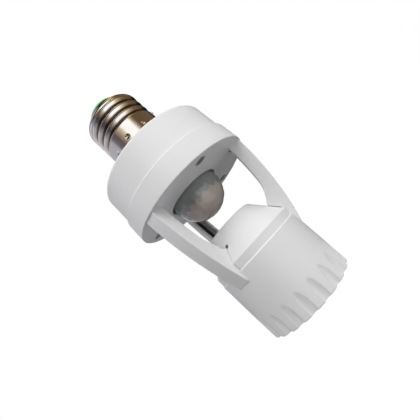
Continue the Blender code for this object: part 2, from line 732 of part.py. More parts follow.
def make_upper_housing(plastic):
    """Housing shell with its rounded shoulder, the neck for the cap, and the bosses inside."""
    foot = SPLIT + CLEARANCE
    spigot = BASE_TOP_RADIUS - BASE_WALL - CLEARANCE
    neck_bore = NECK_RADIUS - NECK_WALL
    roof_inner = ROOF - HOUSING_WALL
    inner = HOUSING_SHOULDER_RADIUS - HOUSING_WALL
    outline = [
        (NECK_RADIUS, NECK_TOP, 0.4 * MM),
        (NECK_RADIUS, NECK_FOOT, 0.8 * MM),
        (HOUSING_SHOULDER_RADIUS - SHOULDER_FILLET, ROOF),
        (HOUSING_SHOULDER_RADIUS, ROOF, 0.85 * SHOULDER_FILLET),
        (HOUSING_SHOULDER_RADIUS, SHOULDER),
        (HOUSING_RADIUS, foot, 0.2 * MM),
        (spigot, foot),
        (spigot, foot - SPIGOT_DEPTH),
        (spigot - SPIGOT_WALL, foot - SPIGOT_DEPTH),
        (spigot - SPIGOT_WALL, foot),
        (inner, SHOULDER, 1.0 * MM),
        (inner - SHOULDER_FILLET, roof_inner),
        (neck_bore, NECK_FOOT - HOUSING_WALL),
        (neck_bore, NECK_TOP),
    ]
    housing = turned("upper_housing", outline)
    boss_foot = LEDGE + WELL_FLOOR + CLEARANCE
    top = ROOF - HOUSING_WALL / 2
    for index, angle in enumerate(SCREW_ANGLES):
        place = polar(SCREW_CIRCLE, angle)
        join(housing, rod("boss_%d" % index, BOSS_RADIUS, boss_foot, top, place))
    top = roof_height(BOARD_SCREW_CIRCLE + BOSS_RADIUS) - HOUSING_WALL / 4
    for index, side in enumerate((1, -1)):
        place = (0.0, side * BOARD_SCREW_CIRCLE)
        join(housing, rod("post_%d" % index, BOSS_RADIUS, BOARD_TOP + CLEARANCE, top, place))
    pilot = SCREW_SHANK_RADIUS + CLEARANCE
    for index, angle in enumerate(SCREW_ANGLES):
        place = polar(SCREW_CIRCLE, angle)
        top = LEDGE + SCREW_LENGTH + CLEARANCE
        cut(housing, rod("pilot_%d" % index, pilot, boss_foot - MM, top, place, steps=12))
    for index, side in enumerate((1, -1)):
        place = (0.0, side * BOARD_SCREW_CIRCLE)
        top = BOARD + BOARD_SCREW_LENGTH + CLEARANCE
        cut(housing, rod("post_pilot_%d" % index, pilot, BOARD_TOP - MM, top, place, steps=12))
    return piece(housing, plastic)


def make_screw(name, ledge, length, place, metal):
    """Pan-head screw pointing up, with its head under the ledge and a cross recess in the head."""
    under = ledge - CLEARANCE
    outline = [
        (0.0, ledge + length),
        (0.6 * SCREW_SHANK_RADIUS, ledge + length),
        (SCREW_SHANK_RADIUS, ledge + length - 0.8 * MM),
        (SCREW_SHANK_RADIUS, under),
        (SCREW_HEAD_RADIUS, under),
        (SCREW_HEAD_RADIUS, under - SCREW_HEAD_HEIGHT, 0.5 * MM),
        (0.0, under - SCREW_HEAD_HEIGHT),
    ]
    screw = shifted(turned(name, outline, steps=12, closed=False), place)
    for index, size in enumerate(((2.0 * MM, 0.5 * MM), (0.5 * MM, 2.0 * MM))):
        slot = block("recess_%d" % index, (*size, 1.4 * MM), under - SCREW_HEAD_HEIGHT - 0.7 * MM, place)
        cut(screw, slot)
    return piece(screw, metal)


def make_screw_shell(metal):
    """Rolled cap: a flared skirt staked to the neck, the thread, and an inward lip at its end."""
    lip = THREAD_CREST_RADIUS - SHELL_END_LIP
    centre = THREAD_CREST_RADIUS - SHELL_END_FILLET
    turns = [math.radians(angle) for angle in (90.0, 67.5, 45.0, 22.5)]
    heights = thread_heights(THREAD_FOOT, THREAD_TOP)
    end_outer, end_inner = [
        [(centre + radius * math.cos(turn), THREAD_TOP + radius * math.sin(turn)) for turn in turns]
        for radius in (SHELL_END_FILLET, SHELL_END_FILLET - SHELL_WALL)]
    outer = [(THREAD_CREST_RADIUS, height) for height in heights[::-1]]
    inner = [(THREAD_CREST_RADIUS - SHELL_WALL, height) for height in heights]
    outline = ([(lip, SHELL_END)] + end_outer + outer + [
        (SKIRT_RADIUS, THREAD_FOOT - 0.8 * MM),
        (SKIRT_RADIUS, SKIRT_FOOT + 2.0 * MM),
        (SKIRT_RADIUS + SKIRT_FLARE, SKIRT_FOOT),
        (SKIRT_RADIUS + SKIRT_FLARE - SHELL_WALL, SKIRT_FOOT),
        (SKIRT_RADIUS - SHELL_WALL, SKIRT_FOOT + 2.0 * MM),
        (SKIRT_RADIUS - SHELL_WALL, THREAD_FOOT - 0.8 * MM),
    ] + inner + end_inner[::-1] + [(lip, SHELL_END - SHELL_WALL)])
    shell = turned("screw_shell", outline, steps=THREAD_ROUND_STEPS)
    roll_thread(shell, THREAD_FOOT, THREAD_TOP)
    for index in range(DENT_COUNT):
        angle = THREAD_START + index * math.tau / DENT_COUNT
        mesh = bpy.data.meshes.new("dent")
        shape = bmesh.new()
        bmesh.ops.create_uvsphere(shape, u_segments=8, v_segments=6, radius=DENT_RADIUS)
        shape.to_mesh(mesh)
        shape.free()
        dent = bpy.data.objects.new("dent_%d" % index, mesh)
        reach = SKIRT_RADIUS + DENT_RADIUS - DENT_DEPTH
        dent.location = (*polar(reach, angle), SKIRT_FOOT + DENT_RISE)
        dent.rotation_euler = (0.0, math.pi / 2, angle)
        holder.objects.link(dent)
        cut(shell, dent)
    return piece(shell, metal)


def make_cap_insulator(glass):
    """Insulating disc that fills the end of the cap, with a recess for the contact and a lead bore."""
    inside = THREAD_CREST_RADIUS - THREAD_DEPTH - SHELL_WALL - CLEARANCE
    lip = THREAD_CREST_RADIUS - SHELL_END_LIP - CLEARANCE
    shelf = SHELL_END - SHELL_WALL - CLEARANCE
    seat = CONTACT_SEAT
    bore = CAP_LEAD_RADIUS + CLEARANCE
    outline = [
        (INSULATOR_TOP_RADIUS, INSULATOR_TOP, INSULATOR_FILLET),
        (lip, SHELL_END + 0.1 * MM),
        (lip, shelf),
        (inside, shelf),
        (inside, SHELL_END - INSULATOR_DEPTH),
        (bore, SHELL_END - INSULATOR_DEPTH),
        (bore, seat - CLEARANCE),
        (CONTACT_RADIUS + CLEARANCE, seat - CLEARANCE),
        (CONTACT_RADIUS + CLEARANCE, INSULATOR_TOP),
    ]
    return piece(turned("cap_insulator", outline, steps=28), glass)


def make_tip_contact(metal):
    outline = [
        (0.0, TIP),
        (CONTACT_RADIUS - 1.2 * MM, TIP, 0.4 * MM),
        (CONTACT_RADIUS, TIP - 1.0 * MM, 0.5 * MM),
        (CONTACT_RADIUS, CONTACT_SEAT),
        (0.0, CONTACT_SEAT),
    ]
    return piece(turned("tip_contact", outline, steps=20, closed=False), metal)


def make_lens_dome(lens):
    """Thin dome below the plate, on a flange that rests inside the housing."""
    centre = BASE - DOME_DROP
    count = 7
    arc = [index * math.pi / 2 / count for index in range(count + 1)]
    seat = FLOOR + CLEARANCE
    top = seat + DOME_FLANGE_THICKNESS
    hollow = DOME_RADIUS - DOME_WALL
    outer = [(DOME_RADIUS * math.cos(turn), centre - DOME_RADIUS * math.sin(turn)) for turn in arc]
    inner = [(hollow * math.cos(turn), centre - hollow * math.sin(turn)) for turn in arc[::-1]]
    outer[-1] = (0.0, outer[-1][1])
    inner[0] = (0.0, inner[0][1])
    outline = inner[:-1] + [inner[-1], (hollow, top), (DOME_FLANGE_RADIUS, top),
                            (DOME_FLANGE_RADIUS, seat), (DOME_RADIUS, seat)] + outer
    return piece(turned("lens_dome", outline, steps=24, closed=False), lens)


def make_lens_retainer(plastic):
    foot = FLOOR + CLEARANCE + DOME_FLANGE_THICKNESS + CLEARANCE
    outline = [
        (DOME_FLANGE_RADIUS, foot + RETAINER_THICKNESS, 0.3 * MM),
        (DOME_FLANGE_RADIUS, foot),
        (DOME_RADIUS + 0.6 * MM, foot),
        (DOME_RADIUS + 0.6 * MM, foot + RETAINER_THICKNESS, 0.3 * MM),
    ]
    return piece(turned("lens_retainer", outline, steps=28), plastic)


def make_sensor(metal, window):
    """Sensor can under the board with its filter window in a recess."""
    top = BOARD - CLEARANCE
    foot = top - SENSOR_HEIGHT
    outline = [
        (0.0, top),
        (SENSOR_RADIUS, top),
        (SENSOR_RADIUS, top - 0.4 * MM),
        (SENSOR_RADIUS - 0.45 * MM, top - 0.4 * MM),
        (SENSOR_RADIUS - 0.45 * MM, foot, 0.5 * MM),
        (0.0, foot),
    ]
    can = turned("pir_sensor", outline, steps=20, closed=False)
    width, depth, height = SENSOR_WINDOW
    pocket_size = (width + 2 * CLEARANCE, depth + 2 * CLEARANCE, 2 * height)
    cut(can, block("window_recess", pocket_size, foot - height + CLEARANCE, (0.0, 0.0)))
    glass = block("pir_window", SENSOR_WINDOW, foot, (0.0, 0.0))
    return piece(can, metal), piece(glass, window)


def make_board(laminate):
    board = rod("circuit_board", BOARD_RADIUS, BOARD, BOARD_TOP, steps=40)
    for index, side in enumerate((1, -1)):
        place = (0.0, side * BOARD_SCREW_CIRCLE)
        hole = SCREW_SHANK_RADIUS + CLEARANCE
        cut(board, rod("board_hole_%d" % index, hole, BOARD - MM, BOARD_TOP + MM, place, steps=12))
    return piece(board, laminate)


def make_board_parts(materials):
    """What stands on the board and what hangs below it."""
    foot = BOARD_TOP + CLEARANCE
    piece(block("relay", RELAY_SIZE, foot, RELAY_PLACE, 0.4 * MM), materials["relay"])
    piece(block("film_capacitor", FILM_CAPACITOR_SIZE, foot, FILM_CAPACITOR_PLACE, 0.6 * MM), materials["film"])
    piece(block("control_chip", CHIP_SIZE, foot, CHIP_PLACE, 0.15 * MM), materials["chip"])
    piece(block("rectifier", RECTIFIER_SIZE, foot, RECTIFIER_PLACE, 0.15 * MM), materials["chip"])
    outline = [
        (0.0, foot + SMOOTHING_HEIGHT),
        (SMOOTHING_RADIUS, foot + SMOOTHING_HEIGHT, 0.5 * MM),
        (SMOOTHING_RADIUS, foot + 1.6 * MM),
        (SMOOTHING_RADIUS - 0.3 * MM, foot + 1.1 * MM),
        (SMOOTHING_RADIUS, foot + 0.6 * MM),
        (SMOOTHING_RADIUS, foot, 0.3 * MM),
        (0.0, foot),
    ]
    can = turned("smoothing_capacitor", outline, steps=SMALL_STEPS, closed=False)
    piece(shifted(can, SMOOTHING_PLACE), materials["can"])
    top = BOARD - CLEARANCE
    place = (-(SENSOR_RADIUS + PHOTOCELL_RADIUS + 0.8 * MM), 0.0)
    piece(rod("photocell", PHOTOCELL_RADIUS, top - PHOTOCELL_HEIGHT, top, place), materials["photocell"])


def make_socket_block(ceramic):
    """Moulded floor of the lamp socket, held between the snap bead and the cone."""
    radius = CUP_BORE_RADIUS - CLEARANCE
    seat = cone_radius(BLOCK_TOP) - cone_slant(CUP_WALL + CLEARANCE)
    outline = [
        (0.0, BLOCK_TOP + BLOCK_HUB_HEIGHT),
        (BLOCK_HUB_RADIUS, BLOCK_TOP + BLOCK_HUB_HEIGHT, 0.4 * MM),
        (BLOCK_HUB_RADIUS, BLOCK_TOP),
        (min(radius, seat) - 0.4 * MM, BLOCK_TOP),
        (radius, BLOCK_TOP - 0.9 * MM),
        (radius, BLOCK_FOOT),
        (0.0, BLOCK_FOOT),
    ]
    floor = turned("socket_insulator", outline, steps=32, closed=False)
    hole = RIVET_RADIUS + CLEARANCE
    for index, place in enumerate((spring_rivet_place(), shell_rivet_place())):
        top = BLOCK_TOP + BLOCK_HUB_HEIGHT + MM
        cut(floor, rod("rivet_hole_%d" % index, hole, BLOCK_FOOT - MM, top, place, steps=12))
    return piece(floor, ceramic)


def spring_rivet_place():
    return polar(SPRING_RIVET_RADIUS, STRUT_ANGLES[1])


def shell_rivet_place():
    return polar(SHELL_RIVET_RADIUS, STRUT_ANGLES[0])


def make_socket_shell(metal):
    """Threaded sleeve that takes the lamp, open at the mouth, with a lip under the socket's floor."""
    top = BLOCK_FOOT - CLEARANCE
    foot = SOCKET_MOUTH_HEIGHT
    thread_foot = foot + 1.0 * MM
    thread_top = top - 2.2 * MM
    lip = SOCKET_THREAD_RADIUS - SOCKET_LIP
    heights = thread_heights(thread_foot, thread_top)
    outer = [(SOCKET_THREAD_RADIUS + SOCKET_WALL, height) for height in heights[::-1]]
    inner = [(SOCKET_THREAD_RADIUS, height) for height in heights]
    outline = ([(lip, top), (SOCKET_THREAD_RADIUS + SOCKET_WALL, top, 0.8 * MM)] + outer + [
        (SOCKET_THREAD_RADIUS + SOCKET_WALL + 0.3 * MM, foot),
        (SOCKET_THREAD_RADIUS + 0.3 * MM, foot),
    ] + inner + [(SOCKET_THREAD_RADIUS, top - SOCKET_WALL), (lip, top - SOCKET_WALL)])
    sleeve = turned("socket_shell", outline, steps=20)
    roll_thread(sleeve, thread_foot, thread_top)
    hole = RIVET_RADIUS + CLEARANCE
    cut(sleeve, rod("sleeve_hole", hole, top - MM, top + MM, shell_rivet_place(), steps=12))
    return piece(sleeve, metal)


def make_socket_contact(metal):
    """Sprung tongue, riveted under the socket's floor, with a flat tip on the axis."""
    top = BLOCK_FOOT - CLEARANCE
    level = top - SPRING_THICKNESS / 2
    low = level - SPRING_DROP
    flat = 2.0 * MM
    middle_line = [
        (SPRING_RIVET_RADIUS + 2.2 * MM, level),
        (SPRING_RIVET_RADIUS - 1.7 * MM, level),
        (flat, low),
        (-flat, low),
        (-flat - 1.2 * MM, low + 0.7 * MM),
    ]
    outline = strip_outline(middle_line, SPRING_THICKNESS)
    placement = upright(STRUT_ANGLES[1])
    tongue = extruded("socket_contact", outline, SPRING_WIDTH, placement)
    hole = RIVET_RADIUS + CLEARANCE
    cut(tongue, rod("tongue_hole", hole, top - MM, top + MM, spring_rivet_place(), steps=12))
    return piece(tongue, metal)


def make_rivet(name, place, grip_foot, grip_top, metal):
    """Rivet with a head at each end of what it grips."""
    outline = [
        (0.0, grip_top + CLEARANCE + RIVET_HEAD_HEIGHT),
        (RIVET_HEAD_RADIUS, grip_top + CLEARANCE + RIVET_HEAD_HEIGHT, 0.3 * MM),
        (RIVET_HEAD_RADIUS, grip_top + CLEARANCE),
        (RIVET_RADIUS, grip_top + CLEARANCE),
        (RIVET_RADIUS, grip_foot - CLEARANCE),
        (RIVET_HEAD_RADIUS, grip_foot - CLEARANCE),
        (RIVET_HEAD_RADIUS, grip_foot - CLEARANCE - RIVET_HEAD_HEIGHT, 0.3 * MM),
        (0.0, grip_foot - CLEARANCE - RIVET_HEAD_HEIGHT),
    ]
    return piece(shifted(turned(name, outline, steps=10, closed=False), place), metal)


def make_lamp_lead(name, angle, rivet_radius, rivet_top, cover):
    """Insulated lead from the board, down a strut's channel and through the cone to a rivet."""
    wire_hole = BASE_RADIUS - WIRE_HOLE_INSET
    back = STRUT_FACE + CLEARANCE + LEAD_RADIUS
    entry = lead_entry_height()
    stretch = strut_heights(CUP_TOP, BASE - 5.0 * MM, 3)[::-1]
    route = [
        (BOARD_RADIUS - 1.6 * MM, BOARD - CLEARANCE - LEAD_RADIUS),
        (wire_hole - 1.2 * MM, BOARD - CLEARANCE - 1.8 * LEAD_RADIUS),
        (wire_hole, FLOOR + 1.2 * MM),
        (wire_hole, BASE - 0.6 * MM),
    ]
    route += [(strut_outer(height) - back, height) for height in stretch]
    route += [
        (cone_radius(entry) + 2.6 * MM, entry + 2.0 * MM),
        (cone_radius(entry), entry),
        (cone_radius(entry) - 2.6 * MM, entry - 0.2 * MM),
        (rivet_radius, rivet_top + CLEARANCE + LEAD_RADIUS),
    ]
    turn = Matrix.Rotation(angle, 4, "Z")
    points = [turn @ Vector((radius, 0.0, height)) for radius, height in route]
    return piece(wire(name, points, LEAD_RADIUS, steps_per_span=2), cover)


def make_cap_leads(cover, bare):
    """Leads from the tip contact and from the shell, down the neck to the board."""
    neck_bore = NECK_RADIUS - NECK_WALL - CAP_LEAD_RADIUS - CLEARANCE
    foot = BOARD_TOP + CLEARANCE
    across, along = TIP_PAD_PLACE
    tip_route = [
        (0.0, 0.0, CONTACT_SEAT - CLEARANCE),
        (0.0, 0.0, SHELL_END - INSULATOR_DEPTH - 1.0 * MM),
        (0.28 * across, 0.28 * along, NECK_TOP - 4.0 * MM),
        (0.89 * across, 0.89 * along, ROOF + 1.0 * MM),
        (across, along, foot + 4.0 * MM),
        (across, along, foot),
    ]
    piece(wire("cap_lead_tip", tip_route, CAP_LEAD_RADIUS), cover)
    edge = THREAD_CREST_RADIUS - THREAD_DEPTH - SHELL_WALL - CLEARANCE - CAP_LEAD_RADIUS
    across, along = SHELL_PAD_PLACE
    shell_route = [
        (edge, 0.0, NECK_TOP + 1.2 * MM),
        (neck_bore - 0.6 * MM, 0.0, NECK_TOP + 0.8 * MM),
        (neck_bore - 1.0 * MM, 0.0, NECK_TOP - 2.0 * MM),
        (0.45 * across, 0.3 * along, ROOF + 1.0 * MM),
        (0.97 * across, 0.94 * along, foot + 6.0 * MM),
        (across, along, foot),
    ]
    piece(wire("cap_lead_shell", shell_route, CAP_LEAD_RADIUS), bare)


def main():
    white = new_material("white_plastic", (0.78, 0.78, 0.79), 0.32)
    nickel = new_material("nickel_plate", (0.72, 0.69, 0.62), 0.18, 1.0)
    steel = new_material("zinc_steel", (0.6, 0.6, 0.62), 0.35, 1.0)
    brass = new_material("brass", (0.75, 0.56, 0.25), 0.3, 1.0)
    green = new_material("green_glass", (0.16, 0.5, 0.2), 0.2)
    lens = new_material("milky_lens", (0.42, 0.42, 0.41), 0.3)
    natural = new_material("natural_plastic", (0.6, 0.6, 0.58), 0.5)
    window = new_material("filter_window", (0.05, 0.05, 0.06), 0.1)
    laminate = new_material("board_laminate", (0.05, 0.25, 0.1), 0.5)
    phenolic = new_material("dark_phenolic", (0.05, 0.045, 0.04), 0.45)
    white_cover = new_material("white_wire_cover", (0.7, 0.7, 0.68), 0.5)
    black_cover = new_material("black_wire_cover", (0.03, 0.03, 0.03), 0.5)
    board_materials = {
        "relay": new_material("blue_relay_case", (0.05, 0.12, 0.45), 0.4),
        "film": new_material("ochre_film_case", (0.7, 0.45, 0.08), 0.5),
        "chip": new_material("black_epoxy", (0.02, 0.02, 0.02), 0.5),
        "can": new_material("capacitor_sleeve", (0.02, 0.03, 0.06), 0.4),
        "photocell": new_material("photocell_disc", (0.6, 0.35, 0.12), 0.4),
    }

    make_lamp_cup(white)
    make_strut_frame(white)
    make_upper_housing(white)
    for index, angle in enumerate(SCREW_ANGLES):
        place = polar(SCREW_CIRCLE, angle)
        make_screw("housing_screw_%d" % (index + 1), LEDGE, SCREW_LENGTH, place, steel)
    for index, side in enumerate((1, -1)):
        place = (0.0, side * BOARD_SCREW_CIRCLE)
        make_screw("board_screw_%d" % (index + 1), BOARD, BOARD_SCREW_LENGTH, place, steel)

    make_screw_shell(nickel)
    make_cap_insulator(green)
    make_tip_contact(brass)
    make_lens_dome(lens)
    make_lens_retainer(natural)
    make_sensor(steel, window)
    make_board(laminate)
    make_board_parts(board_materials)

    make_socket_block(phenolic)
    make_socket_shell(nickel)
    make_socket_contact(brass)
    floor_top = BLOCK_TOP + BLOCK_HUB_HEIGHT
    grip = BLOCK_FOOT - CLEARANCE
    make_rivet("contact_rivet", spring_rivet_place(), grip - SPRING_THICKNESS, floor_top, brass)
    make_rivet("shell_rivet", shell_rivet_place(), grip - SOCKET_WALL, BLOCK_TOP, brass)
    head = CLEARANCE + RIVET_HEAD_HEIGHT
    make_lamp_lead("lead_neutral", STRUT_ANGLES[0], SHELL_RIVET_RADIUS, BLOCK_TOP + head, white_cover)
    make_lamp_lead("lead_live", STRUT_ANGLES[1], SPRING_RIVET_RADIUS, floor_top + head, black_cover)
    make_cap_leads(black_cover, white_cover)


remove_scene_objects()
holder = new_collection("motion_sensor_lamp_holder")
cutters = new_collection("cutters")
main()
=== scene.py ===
"""Motion sensor lamp holder: its finished shapes, finishes, light and camera.

The holder stands on the mouth of its lamp cup, +Z points to the tip of the screw cap, and the first
strut lies on +X. All sizes are in metres.
"""
import math

import bmesh
import bpy
from bpy.props import FloatProperty, FloatVectorProperty, IntProperty, PointerProperty
from mathutils import Matrix, Vector


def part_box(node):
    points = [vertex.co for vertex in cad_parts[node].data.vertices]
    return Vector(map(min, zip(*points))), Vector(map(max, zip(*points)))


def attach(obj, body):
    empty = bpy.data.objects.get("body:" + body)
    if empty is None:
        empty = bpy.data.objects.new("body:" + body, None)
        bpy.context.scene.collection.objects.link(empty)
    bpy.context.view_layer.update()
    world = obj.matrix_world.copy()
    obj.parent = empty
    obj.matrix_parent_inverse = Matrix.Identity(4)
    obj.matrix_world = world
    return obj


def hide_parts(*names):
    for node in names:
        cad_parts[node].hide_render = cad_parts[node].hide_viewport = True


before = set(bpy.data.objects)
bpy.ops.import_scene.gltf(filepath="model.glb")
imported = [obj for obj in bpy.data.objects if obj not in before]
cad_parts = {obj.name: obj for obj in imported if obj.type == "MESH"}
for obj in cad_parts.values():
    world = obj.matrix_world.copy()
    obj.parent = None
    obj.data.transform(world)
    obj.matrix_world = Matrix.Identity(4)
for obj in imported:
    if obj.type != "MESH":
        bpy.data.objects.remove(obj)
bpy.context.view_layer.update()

bl_info = {
    "name": "Motion sensor lamp holder",
    "version": (1, 0, 0),
    "blender": (4, 5, 0),
    "location": "3D View > Sidebar > Lamp Holder",
    "description": "Builds the pieces, finishes and studio of a motion sensor lamp holder",
    "category": "Object",
}

MM = 0.001
TURN = math.tau

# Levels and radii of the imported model
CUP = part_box("lamp_cup")[1]
FRAME_LOW, FRAME_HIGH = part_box("strut_frame")
HOUSING_LOW, HOUSING_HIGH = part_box("upper_housing")
SHELL_LOW, SHELL_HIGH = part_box("screw_shell")
DOME_LOW, DOME_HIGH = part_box("lens_dome")
SLEEVE_LOW, SLEEVE_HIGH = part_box("socket_shell")
BLOCK_LOW, BLOCK_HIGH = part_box("socket_insulator")
INSULATOR_LOW, INSULATOR_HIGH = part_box("cap_insulator")
TIP_LOW, TIP_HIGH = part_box("tip_contact")
SCREW_LOW, SCREW_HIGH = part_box("housing_screw_2")
BOARD_SCREW_LOW, BOARD_SCREW_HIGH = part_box("board_screw_1")
BOARD_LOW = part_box("circuit_board")[0]
STRUT_ANGLES = [index * TURN / 3 for index in range(3)]
SCREW_ANGLES = [angle + TURN / 6 for angle in STRUT_ANGLES]

# Heights that several pieces share: the housing's underside, the ledge that the screw heads hold, and the
# knee of a strut, where its web starts to turn in
BASE = 59 * MM
LEDGE = BASE + 3.4 * MM
KNEE = CUP.z + 3.3 * MM
# Distances from the axis: the wire holes, the posts of the board and the rivets of sleeve and tongue
WIRE_HOLE = FRAME_HIGH.x - 4.85 * MM
POST = 17.3 * MM
SLEEVE_RIVET = 11.3 * MM
TONGUE_RIVET = 6.0 * MM
# Radii of the holes for screws and rivets and of a lead, and where a lead enters the cone above its foot
SHANK_HOLE = 1.45 * MM
RIVET_HOLE = 1.1 * MM
LEAD_RADIUS = 0.75 * MM
LEAD_RISE = 3.72 * MM

# Sockets of a Mix node that mixes colours, by number because the node has others of the same names
FACTOR, FIRST, SECOND, MIXED = 0, 6, 7, 2


def srgb(code):
    """The linear values of an sRGB hex colour."""
    parts = [int(code[place:place + 2], 16) / 255 for place in (1, 3, 5)]
    return [part / 12.92 if part <= 0.04045 else ((part + 0.055) / 1.055) ** 2.4 for part in parts] + [1.0]


def length(name, description, value):
    """A size in metres for a group of sizes."""
    return FloatProperty(name=name, description=description, default=value, unit="LENGTH", precision=5)


def colour(name, description, code):
    """A colour, written as sRGB hex, for the group of finishes."""
    return FloatVectorProperty(name=name, description=description, default=srgb(code), size=4,
                               subtype="COLOR", min=0.0, max=1.0)


class CupSizes(bpy.types.PropertyGroup):
    mouth_radius: length("Mouth radius", "Outer radius of the skirt at its mouth", 19.25 * MM)
    bore_radius: length("Bore radius", "Inner radius of the skirt", 17.4 * MM)
    cone_foot: length("Cone foot", "Height of the edge between skirt and cone", 27.8 * MM)
    cone_top_radius: length("Cone top radius", "Outer radius of the cone's flat top", 10.5 * MM)
    band_height: length("Band height", "Height of the sunk band below the cone", 2.6 * MM)
    band_depth: length("Band depth", "Depth of the sunk band", 0.35 * MM)
    flutes: IntProperty(name="Flutes", description="Finger flutes round the mouth", default=20, min=6)
    flute_depth: length("Flute depth", "Depth of a flute at the mouth", 1.1 * MM)
    flute_height: length("Flute height", "Height at which a flute runs out", 8.5 * MM)
    flute_radius: length("Flute radius", "Radius of a flute's hollow", 1.9 * MM)


class FrameSizes(bpy.types.PropertyGroup):
    top_radius: length("Rim radius", "Outer radius at the joint with the upper housing", 27.75 * MM)
    recess_radius: length("Plate radius", "Outer radius of the sunk plate round the lens", 22.8 * MM)
    opening_radius: length("Lens opening", "Radius of the opening round the lens", 12.05 * MM)
    strut_width: length("Strut width", "Width of a strut", 6.0 * MM)
    strut_depth: length("Strut depth", "Depth of a strut's webs above its knee", 5.3 * MM)
    strut_bow: length("Strut bow", "Outward bow of a strut at mid height", 1.5 * MM)
    strut_face: length("Strut face", "Thickness of a strut's outer face", 1.2 * MM)
    strut_web: length("Strut web", "Thickness of a strut's two webs", 1.0 * MM)
    screw_circle: length("Screw circle", "Radius on which the housing screws stand", 23.4 * MM)
    screw_hole: length("Screw hole", "Radius of the wells of the housing screws", 2.3 * MM)


class HousingSizes(bpy.types.PropertyGroup):
    shoulder_radius: length("Shoulder radius", "Outer radius of the wall below the shoulder", 26.6 * MM)
    shoulder: length("Shoulder height", "Height at which the shoulder's curve starts", 78.5 * MM)
    roof: length("Roof height", "Height of the roof's outer edge", 81.1 * MM)
    neck_foot: length("Neck foot", "Height at which the neck leaves the roof", 84.5 * MM)
    neck_radius: length("Neck radius", "Outer radius of the neck that carries the cap", 12.35 * MM)


class CapSizes(bpy.types.PropertyGroup):
    crest_radius: length("Crest radius", "Radius over the crests of the cap's thread", 13.15 * MM)
    skirt_radius: length("Skirt radius", "Radius of the cap's plain skirt below the thread", 13.12 * MM)
    pitch: length("Pitch", "Distance between two crests", 3.62 * MM)
    depth: length("Depth", "Depth of the rolled thread", 1.1 * MM)
    thread_foot: length("Thread foot", "Height at which the thread starts", 96.0 * MM)
    thread_top: length("Thread top", "Height at which the thread ends", 108.308 * MM)
    run_in: length("Run-in", "Height of the first groove above the thread's foot", 2.1 * MM)
    start: FloatProperty(name="Start", description="Angle of the first groove", default=math.radians(-83),
                         subtype="ANGLE")
    end_bend: length("End bend", "Radius of the bend from the thread to the turned-in end", 1.8 * MM)
    dents: IntProperty(name="Dents", description="Staking dents that hold the cap on the neck", default=10,
                       min=3)
    dent_start: FloatProperty(name="Dent start", description="Angle of the first dent",
                              default=math.radians(-88.5), subtype="ANGLE")
    dent_height: length("Dent height", "Height of the staking dents", 90.8 * MM)
    dent_radius: length("Dent radius", "Radius of a staking dent", 1.1 * MM)
    dent_depth: length("Dent depth", "Depth of a staking dent", 0.36 * MM)


class SocketSizes(bpy.types.PropertyGroup):
    thread_radius: length("Thread radius", "Inner radius of the socket's thread", 13.55 * MM)
    wall: length("Sleeve wall", "Thickness of the threaded sleeve", 0.4 * MM)
    tongue_width: length("Tongue width", "Width of the sprung tongue", 5.0 * MM)
    tongue_drop: length("Tongue drop", "How far the tongue's flat hangs below its root", 3.6 * MM)


class LensSizes(bpy.types.PropertyGroup):
    radius: length("Dome radius", "Outer radius of the lens dome", 11.35 * MM)
    flange_radius: length("Flange radius", "Radius of the lens's flange inside the housing", 15.0 * MM)
    wall: length("Lens wall", "Thickness of the lens", 0.6 * MM)
    rows: IntProperty(name="Rows", description="Rows of small lenses between rim and apex", default=5, min=2)
    relief: length("Lens relief", "How far each small lens swells", 0.14 * MM)


class Finishes(bpy.types.PropertyGroup):
    housing: colour("Housing plastic", "Moulded white ABS", "#EBEBEC")
    nickel: colour("Nickel", "Bright nickel plating", "#D3CEC6")
    brass: colour("Brass", "Bare stamped brass", "#D2A24C")
    zinc: colour("Zinc", "Zinc-plated steel", "#B9BCC0")
    insulator: colour("Insulator", "Green glass-filled insulator", "#86E89E")
    lens: colour("Lens", "Milky polyethylene", "#B0ABA2")
    phenolic: colour("Phenolic", "Dark moulded phenolic", "#2B2622")
    laminate: colour("Laminate", "Solder mask of the circuit board", "#1C6A3C")


class Studio(bpy.types.PropertyGroup):
    level: FloatProperty(name="Level", description="Power of all lamps, as a multiple of their own",
                         default=1.0)
    sky: FloatProperty(name="Sky", description="Strength of the light from all round", default=0.08)
    floor: colour("Floor", "Pale matt floor", "#969594")


# Soft lamps, which light the holder but aren't mirrored by it: name, place, width in metres, power in watts
LAMPS = (
    ("key_lamp", (0.02, -0.35, 0.40), 0.30, 1.05),
    ("right_lamp", (0.28, -0.25, 0.35), 0.22, 0.47),
    ("rim_lamp", (0.30, -0.05, 0.40), 0.22, 0.36),
    ("side_lamp", (0.42, -0.12, 0.12), 0.22, 0.44),
    ("left_lamp", (-0.32, -0.20, 0.32), 0.25, 0.44),
    ("front_lamp", (0.10, -0.48, 0.12), 0.22, 0.18),
    ("back_lamp", (-0.10, 0.40, 0.30), 0.30, 0.40),
)
# A tent of paper round the holder, which only metal and gloss mirror. Each row runs softly from one panel to
# the next: azimuth in degrees, colour and strength, from the floor up
TENT_FLOOR = (
    (100, "#B4B4BE", 1.0), (200, "#C2C1CC", 1.0), (218, "#9A9AA4", 1.0), (232, "#5A555B", 1.0),
    (248, "#544E55", 1.0), (262, "#94847C", 1.0), (275, "#D8C8BC", 1.0), (285, "#F6F8FF", 1.7),
    (326, "#F6F9FF", 1.7), (338, "#F2EEDC", 1.0), (350, "#B8A686", 1.0), (366, "#826A52", 1.0),
    (390, "#6E5A46", 1.0), (404, "#1E1A18", 1.0))
TENT_SILL = (
    (100, "#F0F0FA", 1.0), (205, "#F0F0FA", 1.0), (222, "#8E8C96", 1.0), (240, "#4A444A", 1.0),
    (262, "#4C4038", 1.0), (300, "#4A3828", 1.0), (322, "#7C6448", 1.0), (336, "#B49A68", 1.0),
    (350, "#7C664E", 1.0), (390, "#6E5A46", 1.0), (404, "#1E1A18", 1.0))
